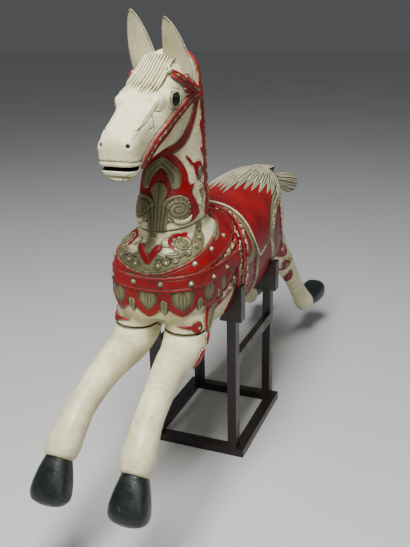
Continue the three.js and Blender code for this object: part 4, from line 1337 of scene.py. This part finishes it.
def makeTail():
    w = tailWork
    tail = loft("horse_tail", tailForm, w["rings"], w["sides"], grow=w["grow"])
    turns = w["ribs"] * np.arange(w["sides"]) * 2 * math.pi / w["sides"]
    wave = np.cos(turns + w["twist"] * np.linspace(0, 1, w["rings"] + 1)[:, None])
    rings = points(tail).reshape(-1, w["sides"], 3)
    middle = rings.mean(axis=1, keepdims=True)
    movePoints(tail, (middle + (rings - middle) * (1 + w["ribRise"] * wave[..., None])).reshape(-1, 3))
    paintAll(tail, "hair")
    # painted shade and grime in the tail's rib hollows
    tail.data.attributes.new("crease", "FLOAT", "POINT").data.foreach_set("value", (wave * 2 - .6).ravel())
    finishPiece(tail, horsePaint, "horse_paint")
    places, faces, crease = [], [], []
    for k in range(w["endLocks"]):  # the flaring end
        turn = 2 * math.pi * k / w["endLocks"]
        out = np.array((math.sin(turn), -.15, math.cos(turn)))
        way = []
        for t, spreadOut in ((2.4, .8), (4, .75), (5.4, .9), (7.2, 1.15)):
            x, y, z, half, rise, *_ = stationAt(tailForm, t) * 1000
            way.append((x + out[0] * half * spreadOut, y, z + out[2] * rise * spreadOut))
        strand(places, faces, crease, None, way, 13, 9, 2, out / np.linalg.norm(out))
    for k in range(w["loopLocks"]):  # the loop over the knot
        lean = (k - 3) / 3
        way = [(30 + 16 * lean, 905, 950), (24 + 34 * lean, 880, 985), (8 + 38 * lean, 846, 992 - 6 * lean * lean),
               (-6 + 30 * lean, 806, 978)]
        strand(places, faces, crease, None, way, 11, 12, 2, np.array((-.2 + .3 * lean, -.45, .85)))
    finishStrands("tail_locks", places, faces, crease, "hair")


studWork = {"sides": 4, "radius": .0105, "depth": .010, "bevel": .0012, "rise": .004, "sharp": 30}


def makeStuds(trunk):
    w = studWork
    skin = skinOf(trunk)
    studs = []
    for x, y, z in harness["studPlaces"]:
        for side in (1, -1):
            place, normal, _, _ = skin.find_nearest(Vector((x * side, y, z)))
            bpy.ops.mesh.primitive_cone_add(vertices=w["sides"], radius1=w["radius"], depth=w["depth"])
            stud = bpy.context.object
            modify(stud, "BEVEL", width=w["bevel"], segments=2)
            applyAll(stud)
            stud.rotation_euler = normal.to_track_quat("Z", "Y").to_euler()
            stud.location = Vector((place.x / 1000, place.y / 1000 + standFront, place.z / 1000)) + normal * w["rise"]
            studs.append(stud)
    pick(*studs)
    bpy.ops.object.transform_apply(location=True, rotation=True, scale=True)
    bpy.ops.object.join()
    joined = bpy.context.view_layer.objects.active
    joined.name = "harness_studs"
    finishPiece(joined, goldPaint, "gold_paint")
    bpy.ops.object.shade_smooth_by_angle(angle=math.radians(w["sharp"]))


makeHair(trunk)
makeForelock(head)
makeTail()
makeStuds(trunk)


# The stand.
def finishStand():
    kinds = ("post", "rail", "block")
    timbers = [timber for name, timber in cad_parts.items() if any(kind in name for kind in kinds)]
    for timber in timbers:
        timber.data.materials.clear()
        timber.data.materials.append(standStain)
    print("stained", len(timbers), "timbers of the stand")


finishStand()


# Floor, light and camera.
studio = {
    "floorSize": 60,
    "keyPlace": (.2, -2.1, 4.6), "keyPower": 430, "keySize": 1.8,
    "fillPlace": (3.4, -3.2, 2.4), "fillPower": 30, "fillSize": 2.4,
    "sky": (.60, .62, .64), "skyPower": .24, "farFloor": .42,
    "lens": 46.07, "sensor": 36,
    "eye": (.9738, -2.2360, 1.6574),
    "right": (.92884, .36996, -.01973), "up": (-.11113, .32902, .93776), "ahead": (-.35343, .86883, -.34672),
}


def softLight(name, place, power, size):
    data = bpy.data.lights.new(name, "AREA")
    data.energy = power
    data.size = size
    lamp = bpy.data.objects.new(name, data)
    bpy.context.scene.collection.objects.link(lamp)
    lamp.location = place
    lamp.rotation_euler = (Vector((0, 0, .8)) - Vector(place)).to_track_quat("-Z", "Y").to_euler()


def makeStudio():
    s = studio
    bpy.ops.mesh.primitive_plane_add(size=s["floorSize"])
    floor = bpy.context.object
    floor.name = "floor"
    floor.data.materials.append(makeFloorPaint())
    for name in ("key", "fill"):
        softLight(name, s[name + "Place"], s[name + "Power"], s[name + "Size"])
    world = bpy.data.worlds.new("studio")
    bpy.context.scene.world = world
    world.use_nodes = True
    world.node_tree.nodes["Background"].inputs["Color"].default_value = (*s["sky"], 1)
    tree = world.node_tree
    seen = reckon(tree, "MULTIPLY", node(tree, "LightPath").outputs["Is Camera Ray"],
                  s["skyPower"] * s["farFloor"])
    tree.links.new(reckon(tree, "SUBTRACT", s["skyPower"], seen), tree.nodes["Background"].inputs["Strength"])
    data = bpy.data.cameras.new("camera")
    data.sensor_fit = "VERTICAL"
    data.sensor_height = s["sensor"]
    data.lens = s["lens"]
    camera = bpy.data.objects.new("camera", data)
    bpy.context.scene.collection.objects.link(camera)
    turn = Matrix((s["right"], s["up"], [-a for a in s["ahead"]])).transposed().to_4x4()
    camera.matrix_world = Matrix.Translation(Vector(s["eye"]) + Vector(frontShift)) @ turn
    bpy.context.scene.camera = camera
    print("set the floor, the lights and the camera")


makeStudio()
